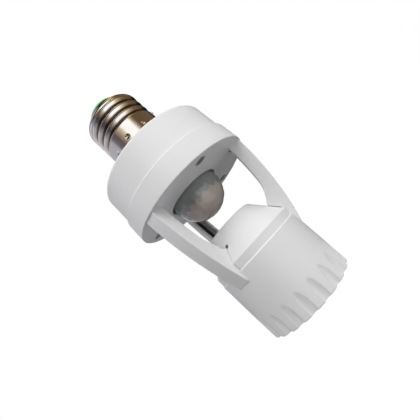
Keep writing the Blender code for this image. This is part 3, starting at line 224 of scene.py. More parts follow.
TENT_WINDOW = (
    (100, "#C8C8D6", 1.0), (206, "#C8C8D6", 1.0), (218, "#7A767E", 1.0), (238, "#6A6468", 1.0),
    (250, "#B09C86", 1.0), (266, "#ECD8BC", 1.0), (278, "#FAF8FA", 1.7), (310, "#FAFAFF", 1.7),
    (320, "#C8B8A4", 1.0), (330, "#705C48", 1.0), (402, "#7A6650", 1.0), (416, "#3A322C", 1.0),
    (430, "#161312", 1.0))
TENT_SHOULDER = (
    (96, "#2A2628", 1.0), (115, "#A8A4B0", 1.0), (208, "#A8A4B0", 1.0), (232, "#6E6A72", 1.0),
    (252, "#1E1A1C", 1.0), (304, "#1E1A1A", 1.0), (320, "#5E4C36", 1.0), (331, "#FFDE80", 1.7),
    (342, "#C8A868", 1.0), (356, "#7C6448", 1.0), (390, "#7A6248", 1.0), (408, "#1E1A18", 1.0))
TENT_ROOF = (
    (96, "#1A1818", 1.0), (130, "#DCDAE0", 1.0), (208, "#DCDAE0", 1.0), (236, "#A09CA4", 1.0),
    (254, "#2A2628", 1.0), (308, "#1C1816", 1.0), (330, "#C8A878", 1.4), (372, "#C8A878", 2.0),
    (392, "#7E6A4C", 1.0), (408, "#1E1A18", 1.0))
# The rows above the floor, with the angles above the tent's middle between which each takes over, in degrees
TENT_ROWS = ((TENT_SILL, -18, -8), (TENT_WINDOW, 16, 24), (TENT_SHOULDER, 37, 43), (TENT_ROOF, 58, 66))


def rounded(outline, closed=True, segments=5):
    """Outline points, with the corners that carry a third value rounded to that radius."""
    count = len(outline)
    result = []
    for index, corner in enumerate(outline):
        here = Vector(corner[:2])
        radius = corner[2] if len(corner) > 2 else 0.0
        if radius <= 0.0 or (not closed and index in (0, count - 1)):
            result.append(here)
            continue
        before = Vector(outline[index - 1][:2]) - here
        after = Vector(outline[(index + 1) % count][:2]) - here
        half = before.angle(after) / 2
        reach = min(radius / math.tan(half), before.length * 0.49, after.length * 0.49)
        radius = reach * math.tan(half)
        centre = here + (before.normalized() + after.normalized()).normalized() * radius / math.sin(half)
        start = here + before.normalized() * reach - centre
        finish = here + after.normalized() * reach - centre
        sweep = start.angle_signed(finish)
        for step in range(segments + 1):
            result.append(centre + Matrix.Rotation(-sweep * step / segments, 2) @ start)
    return result


def filled(points, step, closed=True):
    """Points with more between them, so that no two lie further apart than a step."""
    result = []
    pairs = list(zip(points, points[1:] + points[:1])) if closed else list(zip(points, points[1:]))
    for first, second in pairs:
        count = max(1, math.ceil((second - first).length / step))
        result += [first.lerp(second, index / count) for index in range(count)]
    return result if closed else result + [points[-1]]


def mesh_object(name, mesh):
    """A mesh as an object of the scene."""
    item = bpy.data.objects.new(name, mesh)
    bpy.context.scene.collection.objects.link(item)
    return item


def sealed(shape, mesh):
    """Merges a shape's seams and poles, turns its faces outwards and writes it to a mesh."""
    bmesh.ops.remove_doubles(shape, verts=shape.verts, dist=0.001 * MM)
    bmesh.ops.recalc_face_normals(shape, faces=shape.faces)
    shape.to_mesh(mesh)
    shape.free()
    return mesh


def from_bmesh(name, shape):
    """A shape drawn with bmesh as an object of the scene."""
    return mesh_object(name, sealed(shape, bpy.data.meshes.new(name)))


def frozen(item):
    """Turns an object's modifiers into its plain mesh."""
    bpy.context.view_layer.update()
    graph = bpy.context.evaluated_depsgraph_get()
    mesh = bpy.data.meshes.new_from_object(item.evaluated_get(graph), depsgraph=graph)
    item.modifiers.clear()
    old = item.data
    item.data = mesh
    if old.users == 0 and isinstance(old, bpy.types.Mesh):
        bpy.data.meshes.remove(old)
    return item


def turned(name, outline, steps=128, closed=True, segments=5):
    """A round piece: an outline of radius and height turned about the axis."""
    points = rounded(outline, closed, segments)
    shape = bmesh.new()
    verts = [shape.verts.new((point.x, 0.0, point.y)) for point in points]
    pairs = list(zip(verts, verts[1:])) + ([(verts[-1], verts[0])] if closed else [])
    edges = [shape.edges.new(pair) for pair in pairs]
    bmesh.ops.spin(shape, geom=verts + edges, cent=(0, 0, 0), axis=(0, 0, 1), angle=TURN, steps=steps)
    return from_bmesh(name, shape)


def rod(name, radius, foot, top, place=(0.0, 0.0), steps=48):
    """An upright round bar between two heights."""
    shape = bmesh.new()
    middle = Matrix.Translation((*place, (foot + top) / 2))
    bmesh.ops.create_cone(shape, cap_ends=True, segments=steps, radius1=radius, radius2=radius,
                          depth=top - foot, matrix=middle)
    return from_bmesh(name, shape)


def slab(name, points, thickness, placement, bevel=0.0):
    """A flat outline with a thickness, centred on its plane, with its long edges rounded."""
    shape = bmesh.new()
    verts = [shape.verts.new((x, y, -thickness / 2)) for x, y in points]
    face = shape.faces.new(verts)
    swept = bmesh.ops.extrude_face_region(shape, geom=[face])
    top = [part for part in swept["geom"] if isinstance(part, bmesh.types.BMVert)]
    bmesh.ops.translate(shape, vec=(0.0, 0.0, thickness), verts=top)
    if bevel > 0.0:
        bmesh.ops.recalc_face_normals(shape, faces=shape.faces)
        rims = [edge for edge in shape.edges
                if abs(edge.verts[0].co.z - edge.verts[1].co.z) < 1e-9 and edge.calc_face_angle(0.0) > 1.2]
        bmesh.ops.bevel(shape, geom=rims, offset=bevel, segments=3, profile=0.5, affect="EDGES",
                        clamp_overlap=True)
    bmesh.ops.transform(shape, matrix=placement, verts=shape.verts)
    return from_bmesh(name, shape)


def tube(name, route, radius):
    """A round lead along a smooth curve through a route's points, with closed ends."""
    curve = bpy.data.curves.new(name, "CURVE")
    curve.dimensions = "3D"
    curve.bevel_depth = radius
    curve.bevel_resolution = 5
    curve.resolution_u = 8
    curve.use_fill_caps = True
    spline = curve.splines.new("NURBS")
    spline.points.add(len(route) - 1)
    for point, place in zip(spline.points, route):
        point.co = (*place, 1.0)
    spline.order_u = 3
    spline.use_endpoint_u = True
    item = bpy.data.objects.new(name, curve)
    bpy.context.scene.collection.objects.link(item)
    graph = bpy.context.evaluated_depsgraph_get()
    mesh = bpy.data.meshes.new_from_object(item.evaluated_get(graph), depsgraph=graph)
    bpy.data.objects.remove(item)
    bpy.data.curves.remove(curve)
    shape = bmesh.new()
    shape.from_mesh(mesh)
    bpy.data.meshes.remove(mesh)
    return from_bmesh(name, shape)


def combine(item, operation, *tools):
    """Joins or cuts a piece with other solids, which are used up."""
    for tool in tools:
        modifier = item.modifiers.new("Shape", "BOOLEAN")
        modifier.operation = operation
        modifier.object = tool
        modifier.solver = "EXACT"
    frozen(item)
    for tool in tools:
        bpy.data.objects.remove(tool, do_unlink=True)
    return item


def rectangle(left, right, foot, top):
    """The outline of a rectangle, for a slab."""
    return [(left, foot), (right, foot), (right, top), (left, top)]


def levels(foot, top, count):
    """Evenly spaced values from one to another, both included."""
    return [foot + (top - foot) * index / count for index in range(count + 1)]


def upright(angle):
    """Places an outline of radius and height in the upright plane at an angle round the axis."""
    return Matrix.Rotation(angle, 4, "Z") @ Matrix.Rotation(math.pi / 2, 4, "X")


def polar(radius, angle):
    """The place at a radius and an angle round the axis."""
    return (radius * math.cos(angle), radius * math.sin(angle))


def placed(item, slot, material, *nodes, sharp=30.0, weighted=False):
    """Finishes a piece: its material, its smooth shading, its body and the nodes it stands for."""
    item.data.materials.clear()
    item.data.materials.append(material)
    item.data.shade_smooth()
    item.data.set_sharp_from_angle(angle=math.radians(sharp))
    if weighted:
        modifier = item.modifiers.new("Shading", "WEIGHTED_NORMAL")
        modifier.keep_sharp = True
        frozen(item)
    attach(item, "root")
    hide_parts(*nodes)
    return item


def dressed(node, material):
    """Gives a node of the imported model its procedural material."""
    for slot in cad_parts[node].material_slots:
        slot.material = material


def add(tree, kind, *feeds, **settings):
    """Adds a node by its kind, without ShaderNode or GeometryNode in front, and with its settings.

    Feeds are values, or nodes or sockets to link from, in the order of the inputs or in a dictionary by key.
    """
    prefix = next(part for part in ("ShaderNode", "GeometryNode", "") if hasattr(bpy.types, part + kind))
    node = tree.nodes.new(prefix + kind)
    for key, value in settings.items():
        setattr(node, key, value)
    keyed = feeds[0] if feeds and isinstance(feeds[0], dict) else dict(enumerate(feeds))
    for key, value in keyed.items():
        if isinstance(value, bpy.types.Node):
            value = value.outputs[0]
        if isinstance(value, bpy.types.NodeSocket):
            tree.links.new(value, node.inputs[key])
        else:
            node.inputs[key].default_value = value
    return node


def emptied(item):
    """The node tree of a material or a world, without the nodes that it starts with."""
    item.use_nodes = True
    item.node_tree.nodes.clear()
    return item.node_tree


def seen_rays(tree):
    """1 on rays that come from the camera, a mirror or glass, and 0 on those that light the holder."""
    path = add(tree, "LightPath").outputs
    plain = add(tree, "Math", path["Is Camera Ray"], path["Is Glossy Ray"], operation="MAXIMUM")
    return add(tree, "Math", plain, path["Is Transmission Ray"], operation="MAXIMUM")


def shape_tree(name, inputs):
    """An empty geometry tree with a mesh in, a mesh out and named inputs."""
    tree = bpy.data.node_groups.new(name, "GeometryNodeTree")
    tree.interface.new_socket("Geometry", in_out="OUTPUT", socket_type="NodeSocketGeometry")
    tree.interface.new_socket("Geometry", in_out="INPUT", socket_type="NodeSocketGeometry")
    for label, kind in inputs.items():
        tree.interface.new_socket(label, in_out="INPUT", socket_type="NodeSocket" + kind)
    return tree, tree.nodes.new("NodeGroupInput").outputs


def run_tree(item, tree, values):
    """Runs a tree on an object with its inputs set, and leaves the plain mesh."""
    modifier = item.modifiers.new("Shape", "NODES")
    modifier.node_group = tree
    for socket in tree.interface.items_tree:
        if socket.in_out == "INPUT" and socket.name in values:
            modifier[socket.identifier] = values[socket.name]
    return frozen(item)


def turned_grid(tree, given):
    """Lays a grid round the axis: one column for each step, one row for each point of the outline."""
    count = add(tree, "AttributeDomainSize", given["Geometry"])
    columns = add(tree, "Math", given["Steps"], 1.0, operation="ADD")
    grid = add(tree, "MeshGrid", {"Vertices X": columns, "Vertices Y": count.outputs["Point Count"]})
    number = add(tree, "InputIndex")
    row = add(tree, "Math", number, count.outputs["Point Count"], operation="MODULO")
    share = add(tree, "Math", number, count.outputs["Point Count"], operation="DIVIDE")
    column = add(tree, "Math", share, operation="FLOOR")
    part = add(tree, "Math", column, given["Steps"], operation="DIVIDE")
    angle = add(tree, "Math", part, TURN, operation="MULTIPLY")
    place = add(tree, "InputPosition")
    point = add(tree, "SampleIndex", given["Geometry"], place, row, data_type="FLOAT_VECTOR", domain="POINT")
    axes = add(tree, "SeparateXYZ", point)
    return grid, angle, axes.outputs["X"], axes.outputs["Z"]


def wrapped_grid(tree, given, grid, angle, radius, height):
    """Wraps the grid round the axis at a radius, closes it and gives it its material."""
    cosine = add(tree, "Math", angle, operation="COSINE")
    sine = add(tree, "Math", angle, operation="SINE")
    across = add(tree, "Math", radius, cosine, operation="MULTIPLY")
    along = add(tree, "Math", radius, sine, operation="MULTIPLY")
    place = add(tree, "CombineXYZ", across, along, height)
    bent = add(tree, "SetPosition", {"Geometry": grid, "Position": place})
    joined = add(tree, "MergeByDistance", {"Geometry": bent, "Distance": 0.001 * MM})
    real = add(tree, "RealizeInstances", joined)
    coated = add(tree, "SetMaterial", {"Geometry": real, "Material": given["Material"]})
    add(tree, "NodeGroupOutput", coated)


def profile_object(name, points):
    """An outline as a line of points, in the order in which a turned grid takes them."""
    mesh = bpy.data.meshes.new(name)
    edges = [(index, index + 1) for index in range(len(points) - 1)]
    mesh.from_pydata([(point.x, 0.0, point.y) for point in points], edges, [])
    return mesh_object(name, mesh)


def outward(item):
    """Closes a piece that a tree has wrapped round the axis."""
    shape = bmesh.new()
    shape.from_mesh(item.data)
    sealed(shape, item.data)


def rolled_thread_tree():
    """A turned sleeve with a rolled helical thread and a ring of staking dents."""
    tree, given = shape_tree("Rolled thread", {
        "Steps": "Int", "Pitch": "Float", "Depth": "Float", "Thread Foot": "Float", "Thread Top": "Float",
        "Run-in": "Float", "Start": "Float", "Dents": "Int", "Dent Start": "Float", "Dent Height": "Float",
        "Dent Radius": "Float", "Dent Depth": "Float", "Material": "Material"})
    grid, angle, radius, height = turned_grid(tree, given)

    # The groove is a cosine along the helix, which fades out within half a pitch of the thread's ends
    rise = add(tree, "Math", height, given["Thread Foot"], operation="SUBTRACT")
    run = add(tree, "Math", rise, given["Run-in"], operation="SUBTRACT")
    turns = add(tree, "Math", run, given["Pitch"], operation="DIVIDE")
    climb = add(tree, "Math", turns, TURN, operation="MULTIPLY")
    round_angle = add(tree, "Math", angle, given["Start"], operation="SUBTRACT")
    phase = add(tree, "Math", climb, round_angle, operation="SUBTRACT")
    cosine = add(tree, "Math", phase, operation="COSINE")
    wave = add(tree, "Math", cosine, 0.5, 0.5, operation="MULTIPLY_ADD")
    reach = add(tree, "Math", given["Pitch"], 0.5, operation="MULTIPLY")
    below = add(tree, "Math", given["Thread Top"], height, operation="SUBTRACT")
    fade_in = add(tree, "MapRange", {"Value": rise, "From Max": reach}, interpolation_type="SMOOTHSTEP")
    fade_out = add(tree, "MapRange", {"Value": below, "From Max": reach}, interpolation_type="SMOOTHSTEP")
    fade = add(tree, "Math", fade_in, fade_out, operation="MULTIPLY")
    groove = add(tree, "Math", fade, wave, operation="MULTIPLY")
    thread = add(tree, "Math", groove, given["Depth"], operation="MULTIPLY")

    # A dent is a round dish: flat in its middle quarter, and run out at its radius
    spacing = add(tree, "Math", math.pi, given["Dents"], operation="DIVIDE")
    back = add(tree, "Math", spacing, -1.0, operation="MULTIPLY")
    from_dent = add(tree, "Math", angle, given["Dent Start"], operation="SUBTRACT")
    nearest = add(tree, "Math", from_dent, spacing, back, operation="WRAP")
    sideways = add(tree, "Math", nearest, radius, operation="MULTIPLY")
    upwards = add(tree, "Math", height, given["Dent Height"], operation="SUBTRACT")
    offset = add(tree, "CombineXYZ", sideways, upwards)
    distance = add(tree, "VectorMath", offset, operation="LENGTH")
    inner = add(tree, "Math", given["Dent Radius"], 0.25, operation="MULTIPLY")
    dish = add(tree, "MapRange", distance.outputs["Value"], inner, given["Dent Radius"], 1.0, 0.0,
               interpolation_type="SMOOTHSTEP")
    dent = add(tree, "Math", dish, given["Dent Depth"], operation="MULTIPLY")
    relief = add(tree, "Math", thread, dent, operation="ADD")
    final = add(tree, "Math", radius, relief, operation="SUBTRACT")

    # The nickel finish reads where the thread rubs; painted shade darkens the groove's side that faces up
    ridge = add(tree, "Math", 1.0, wave, operation="SUBTRACT")
    crest = add(tree, "Math", ridge, fade, operation="MULTIPLY")
    marked = add(tree, "StoreNamedAttribute", {"Geometry": grid, "Name": "crest", "Value": crest},
                 data_type="FLOAT", domain="POINT")
    # Painted shade: a dark reflection drawn on the side of each groove that faces up
    ahead = add(tree, "Math", phase, 0.08 * TURN, operation="ADD")
    swing = add(tree, "Math", ahead, operation="COSINE")
    shaded_slope = add(tree, "MapRange", swing, -0.3, 0.5, interpolation_type="SMOOTHSTEP")
    thick = add(tree, "Math", fade, 3.0, operation="POWER")
    painted_groove_shade = add(tree, "Math", shaded_slope, thick, operation="MULTIPLY")
    marked = add(tree, "StoreNamedAttribute", {"Geometry": marked, "Name": "painted_groove_shade", "Value": painted_groove_shade},
                 data_type="FLOAT", domain="POINT")
    wrapped_grid(tree, given, marked, angle, final, height)
    return tree


def fluted_tree():
    """A turned cup whose outer wall has a ring of hollow flutes at its mouth."""
    tree, given = shape_tree("Fluted mouth", {
        "Steps": "Int", "Flutes": "Int", "Mouth Radius": "Float", "Depth": "Float", "Height": "Float",
        "Flute Radius": "Float", "Bluntness": "Float", "Softness": "Float", "Material": "Material"})
    grid, angle, radius, height = turned_grid(tree, given)

    # A flute is the near side of a circle whose centre leans outwards with height, until the hollow runs out
    spacing = add(tree, "Math", math.pi, given["Flutes"], operation="DIVIDE")
    back = add(tree, "Math", spacing, -1.0, operation="MULTIPLY")
    nearest = add(tree, "Math", angle, spacing, back, operation="WRAP")
    part = add(tree, "Math", height, given["Height"], operation="DIVIDE")
    climbed = add(tree, "Math", part, 0.0, operation="MAXIMUM")
    curve = add(tree, "Math", climbed, given["Bluntness"], operation="POWER")
    outwards = add(tree, "Math", curve, given["Depth"], given["Mouth Radius"], operation="MULTIPLY_ADD")
    floor = add(tree, "Math", outwards, given["Depth"], operation="SUBTRACT")
    centre = add(tree, "Math", floor, given["Flute Radius"], operation="ADD")
    cosine = add(tree, "Math", nearest, operation="COSINE")
    sine = add(tree, "Math", nearest, operation="SINE")
    ahead = add(tree, "Math", centre, cosine, operation="MULTIPLY")
    aside = add(tree, "Math", centre, sine, operation="MULTIPLY")
    aside_square = add(tree, "Math", aside, aside, operation="MULTIPLY")
    square = add(tree, "Math", given["Flute Radius"], given["Flute Radius"], operation="MULTIPLY")
    left = add(tree, "Math", square, aside_square, operation="SUBTRACT")
    kept = add(tree, "Math", left, 0.0, operation="MAXIMUM")
    chord = add(tree, "Math", kept, operation="SQRT")
    hollow = add(tree, "Math", ahead, chord, operation="SUBTRACT")
    final = add(tree, "Math", radius, hollow, given["Softness"], operation="SMOOTH_MIN")
    wrapped_grid(tree, given, grid, angle, final, height)
    return tree


def ring_tree():
    """Copies of one piece on a circle round the axis, all upright."""
    tree, given = shape_tree("Ring of fasteners", {
        "Count": "Int", "Radius": "Float", "Start": "Float", "Material": "Material"})
    circle = add(tree, "MeshCircle", given["Count"], given["Radius"])
    turn = add(tree, "CombineXYZ", {"Z": given["Start"]})
    started = add(tree, "Transform", {"Geometry": circle, "Rotation": turn})
    copies = add(tree, "InstanceOnPoints", {"Points": started, "Instance": given["Geometry"]})
    real = add(tree, "RealizeInstances", copies)
    coated = add(tree, "SetMaterial", {"Geometry": real, "Material": given["Material"]})
    add(tree, "NodeGroupOutput", coated)
    return tree


def new_material(name, **values):
    """A material with its Principled shader, whose even values sit on the shader's own sockets."""
    if name in bpy.data.materials:
        return bpy.data.materials[name], None, None, None
    material = bpy.data.materials.new(name)
    material.use_nodes = True
    tree = material.node_tree
    shader = tree.nodes["Principled BSDF"]
    for label, value in values.items():
        shader.inputs[label.replace("_", " ")].default_value = value
    place = add(tree, "TexCoord").outputs["Object"]
    return material, tree, shader, place


def finished(material, shader, tone, **others):
    """Links a finish's colour, and its roughness and bump where it has them, to its shader."""
    tree = material.node_tree
    tree.links.new(tone.outputs[MIXED], shader.inputs["Base Color"])
    for label, node in others.items():
        tree.links.new(node.outputs[0], shader.inputs[label])
    return material


def shade(base, factor):
    """A colour made lighter or darker."""
    return [min(1.0, part * factor) for part in base[:3]] + [1.0]


def moulded_abs(base):
    """ABS, injection moulded in a spark-eroded mould.

    It looks clean and satin: an even near-white with a slow drift of tone where the melt cooled, and a
    fine grain that breaks the highlights. The real grain of 0.05 mm is drawn at 0.16 mm, so that it shows.
    """
    material, tree, shader, place = new_material("moulded_white_abs", Roughness=0.4, IOR=1.53)
    if tree is None:
        return material
    drift = add(tree, "TexNoise", {"Vector": place, "Scale": 1 / (26 * MM), "Detail": 2.0})
    tone = add(tree, "Mix", {FACTOR: drift, FIRST: shade(base, 0.975), SECOND: shade(base, 1.02)},
               data_type="RGBA")
    grain = add(tree, "TexNoise", {"Vector": place, "Scale": 1 / (0.16 * MM), "Detail": 2.0})
    gloss = add(tree, "MapRange", {"Value": drift, "To Min": 0.36, "To Max": 0.46})
    bump = add(tree, "Bump", {"Height": grain, "Distance": 0.006 * MM, "Strength": 0.6})
    return finished(material, shader, tone, Roughness=gloss, Normal=bump)


def nickel_plated_brass(base, brass):
    """Brass sheet, drawn and rolled, then bright nickel plated.

    It mirrors the room in hard bands. The thin plating is worn where the thread rubs, so warm brass shows
    on the crests, a painted brown shade darkens the side of each groove that faces up, and the rolls leave
    fine marks round the sleeve, 0.09 mm apart.
    """
    material, tree, shader, place = new_material("nickel_plated_brass", Metallic=1.0, Roughness=0.16)
    if tree is None:
        return material
    crest = add(tree, "Attribute", attribute_name="crest").outputs["Fac"]
    blotch = add(tree, "TexNoise", {"Vector": place, "Scale": 1 / (4.5 * MM), "Detail": 3.0})
    rubbed = add(tree, "Math", crest, blotch, operation="MULTIPLY")
    worn = add(tree, "MapRange", rubbed, 0.30, 0.62, 0.0, 0.12, interpolation_type="SMOOTHSTEP")
    bright = add(tree, "Mix", {FACTOR: worn, FIRST: base, SECOND: brass}, data_type="RGBA")
    # Painted shade: brown darkens the groove side that faces up, in place of a dark reflection
    painted_groove_shade = add(tree, "Attribute", attribute_name="painted_groove_shade").outputs["Fac"]
    cover = add(tree, "Math", painted_groove_shade, 0.92, operation="MULTIPLY")
    tone = add(tree, "Mix", {FACTOR: cover, FIRST: bright.outputs[MIXED], SECOND: srgb("#463626")},
               data_type="RGBA")
    rolled = add(tree, "Mapping", {"Vector": place, "Scale": (0.06, 0.06, 1.0)})
    marks = add(tree, "TexNoise", {"Vector": rolled, "Scale": 1 / (0.18 * MM), "Detail": 2.0})
    gloss = add(tree, "MapRange", blotch, 0.3, 0.7, 0.1, 0.2)
    bump = add(tree, "Bump", {"Height": marks, "Distance": 0.004 * MM, "Strength": 0.5})
    return finished(material, shader, tone, Roughness=gloss, Normal=bump)


def stamped_brass(base):
    """Half-hard brass strip, blanked and stamped.

    It is warm and fairly bright, with thumbed, duller patches and faint drag lines of the die.
    """
    material, tree, shader, place = new_material("stamped_brass", Metallic=1.0, Roughness=0.26)
    if tree is None:
        return material
    patch = add(tree, "TexNoise", {"Vector": place, "Scale": 1 / (2.4 * MM), "Detail": 3.0})
    tone = add(tree, "Mix", {FACTOR: patch, FIRST: shade(base, 0.8), SECOND: shade(base, 1.1)},
               data_type="RGBA")
    gloss = add(tree, "MapRange", {"Value": patch, "To Min": 0.18, "To Max": 0.38})
    drawn = add(tree, "Mapping", {"Vector": place, "Scale": (1.0, 0.08, 1.0)})
    lines = add(tree, "TexNoise", {"Vector": drawn, "Scale": 1 / (0.14 * MM)})
    bump = add(tree, "Bump", {"Height": lines, "Distance": 0.004 * MM, "Strength": 0.4})
    return finished(material, shader, tone, Roughness=gloss, Normal=bump)


def zinc_plated_steel(base):
    """Steel, cold headed and zinc plated.

    It is a cool, slightly cloudy grey with the spangle of the bath, about 0.5 mm across.
    """
    material, tree, shader, place = new_material("zinc_plated_steel", Metallic=1.0, Roughness=0.36)
    if tree is None:
        return material
    spangle = add(tree, "TexVoronoi", {"Vector": place, "Scale": 1 / (0.5 * MM)})
    tone = add(tree, "Mix", {FACTOR: spangle, FIRST: shade(base, 0.88), SECOND: shade(base, 1.08)},
               data_type="RGBA")
    gloss = add(tree, "MapRange", {"Value": spangle, "To Min": 0.28, "To Max": 0.44})
    return finished(material, shader, tone, Roughness=gloss)


def milky_polyethylene(base):
    """High-density polyethylene, moulded thin so that infrared passes.

    It is a waxy, cloudy grey-white. The two rows of small lenses next to the rim are painted greyer and
    greener as shade, with an edge that steps from lens to lens, and flow marks of 3.5 mm drift over it.
    """
    material, tree, shader, place = new_material(
        "milky_polyethylene", Roughness=0.2, IOR=1.54, Subsurface_Weight=0.25, Subsurface_Scale=1.2 * MM,
        Coat_Weight=0.2, Coat_Roughness=0.05)
    if tree is None:
        return material
    flow = add(tree, "TexNoise", {"Vector": place, "Scale": 1 / (3.5 * MM), "Detail": 3.0})
    axes = add(tree, "SeparateXYZ", place)
    angle = add(tree, "Math", axes.outputs["Y"], axes.outputs["X"], operation="ARCTAN2")
    # Painted shade: the rows near the rim turn darker and greener above an edge that steps from lens to lens
    lenses = add(tree, "Math", angle, 18 / TURN, operation="MULTIPLY")
    teeth = add(tree, "Math", lenses, 0.5, operation="PINGPONG")
    level = add(tree, "Math", teeth, -2.6 * MM, axes.outputs["Z"], operation="MULTIPLY_ADD")
    painted_shade_border = add(tree, "MapRange", level, DOME_LOW.z + 6.0 * MM, DOME_LOW.z + 7.2 * MM,
                 interpolation_type="SMOOTHSTEP")
    warm = add(tree, "Mix", {FACTOR: flow, FIRST: base, SECOND: srgb("#CFC0B8")}, data_type="RGBA")
    tone = add(tree, "Mix", {FACTOR: painted_shade_border, FIRST: warm.outputs[MIXED], SECOND: srgb("#949A9A")},
               data_type="RGBA")
    haze = add(tree, "TexNoise", {"Vector": place, "Scale": 1 / (0.3 * MM)})
    bump = add(tree, "Bump", {"Height": haze, "Distance": 0.004 * MM, "Strength": 0.4})
    return finished(material, shader, tone, Normal=bump)


def speckled(name, base, grit, contrast, roughness, **values):
    """A moulded, cast or coated surface: its colour with grit of a given size and a matching roughness."""
    material, tree, shader, place = new_material(name, Roughness=roughness, **values)
    if tree is None:
        return material
    grain = add(tree, "TexNoise", {"Vector": place, "Scale": 1 / grit, "Detail": 4.0})
    tone = add(tree, "Mix", {FACTOR: grain, FIRST: shade(base, 1 - contrast),
                             SECOND: shade(base, 1 + contrast)}, data_type="RGBA")
    gloss = add(tree, "MapRange", {"Value": grain, "To Min": roughness - 0.08, "To Max": roughness + 0.08})
    bump = add(tree, "Bump", {"Height": grain, "Distance": 0.01 * MM, "Strength": 0.4})
    return finished(material, shader, tone, Roughness=gloss, Normal=bump)


def painted_shade_ring(material, foot, top):
    """Painted shade: near-black below a height and its own colour above, so a dark ring lies next to the metal.
    """
    tree = material.node_tree
    if tree.nodes.get("Painted shade edge"):
        return
    shader = tree.nodes["Principled BSDF"]
    own_tone = shader.inputs["Base Color"].links[0].from_socket
    axes = add(tree, "SeparateXYZ", add(tree, "TexCoord").outputs["Object"])
    edge = add(tree, "MapRange", axes.outputs["Z"], foot, top, interpolation_type="SMOOTHSTEP",
               name="Painted shade edge")
    # Painted shade: near-black below the edge, a dark ring next to the metal
    tone = add(tree, "Mix", {FACTOR: edge, FIRST: srgb("#0C1410"), SECOND: own_tone}, data_type="RGBA")
    tree.links.new(tone.outputs[MIXED], shader.inputs["Base Color"])


def strut_outer(height, sizes):
    """Distance of a strut's outer face from the axis: a line from the cup to the base, bowed outwards."""
    foot_radius = CUP.x + 0.1 * MM
    top_radius = FRAME_HIGH.x - 0.65 * MM
    foot = FRAME_LOW.z
    share = (height - foot) / (BASE - foot)
    return foot_radius + (top_radius - foot_radius) * share + 4 * sizes.strut_bow * share * (1 - share)


def cone_radius(height, cup):
    """Outer radius of the lamp cup's cone at a height."""
    share = (height - cup.cone_foot) / (CUP.z - cup.cone_foot)
    return CUP.x + (cup.cone_top_radius - CUP.x) * share


def cone_slope(cup):
    """How much narrower the cone gets for each metre of height."""
    return (CUP.x - cup.cone_top_radius) / (CUP.z - cup.cone_foot)


def gusset_edge(sizes):
    """A strut's inner edge below its knee: an arc of 18.2 mm that turns in to the cone, and 3.2 mm into it."""
    here = Vector((strut_outer(KNEE, sizes) - sizes.strut_depth, KNEE))
    above = strut_outer(KNEE + MM, sizes) - sizes.strut_depth
    start, bend, count = math.atan2(above - here.x, MM), math.radians(33), 16
    points = []
    for index in range(count):
        lean = start + bend * (index + 0.5) / count
        here = here + Vector((-math.sin(lean), -math.cos(lean))) * 18.2 * MM * bend / count
        points.append(here)
    lean = start + bend
    points.append(here + Vector((-math.sin(lean), -math.cos(lean))) * 3.2 * MM)
    return points


def relief_pit(angle, sizes, cup):
    """The pit at the corner of a gusset's web, where its edge meets the cone, square to the cone."""
    height = 34.0 * MM
    mouth, hollow = 0.8 * MM, 1.5 * MM
    above, wall, depth = 3.0 * MM, -0.7 * MM, -4.5 * MM
    normal = Vector((1.0, 0.0, cone_slope(cup))).normalized()
    pit = turned("relief_pit", [
        (0.0, above), (mouth, above), (mouth, wall), (hollow, wall), (hollow, depth), (0.0, depth)],
        closed=False, steps=32)
    pit.data.transform(Matrix.Rotation(angle, 4, "Z")
                       @ Matrix.Translation((cone_radius(height, cup), sizes.strut_width / 2, height))
                       @ normal.to_track_quat("Z", "Y").to_matrix().to_4x4())
    return pit


def strut_solid(angle, sizes):
    """One strut, solid, with rounded long edges, its foot running out into the cup's skirt."""
    foot, inside = FRAME_LOW.z, 14.7 * MM
    outer = [(strut_outer(height, sizes), height) for height in levels(foot, BASE, 28)[::-1]]
    inner = [(strut_outer(height, sizes) - sizes.strut_depth, height) for height in levels(KNEE, BASE, 12)]
    edge = gusset_edge(sizes)
    root = BASE + 0.75 * MM
    points = [(outer[0][0], root), *outer, (inside, foot), (inside, edge[-1].y), *edge[::-1][1:], *inner,
              (inner[-1][0], root)]
    return slab("strut", points, sizes.strut_width, upright(angle), 0.4 * MM)


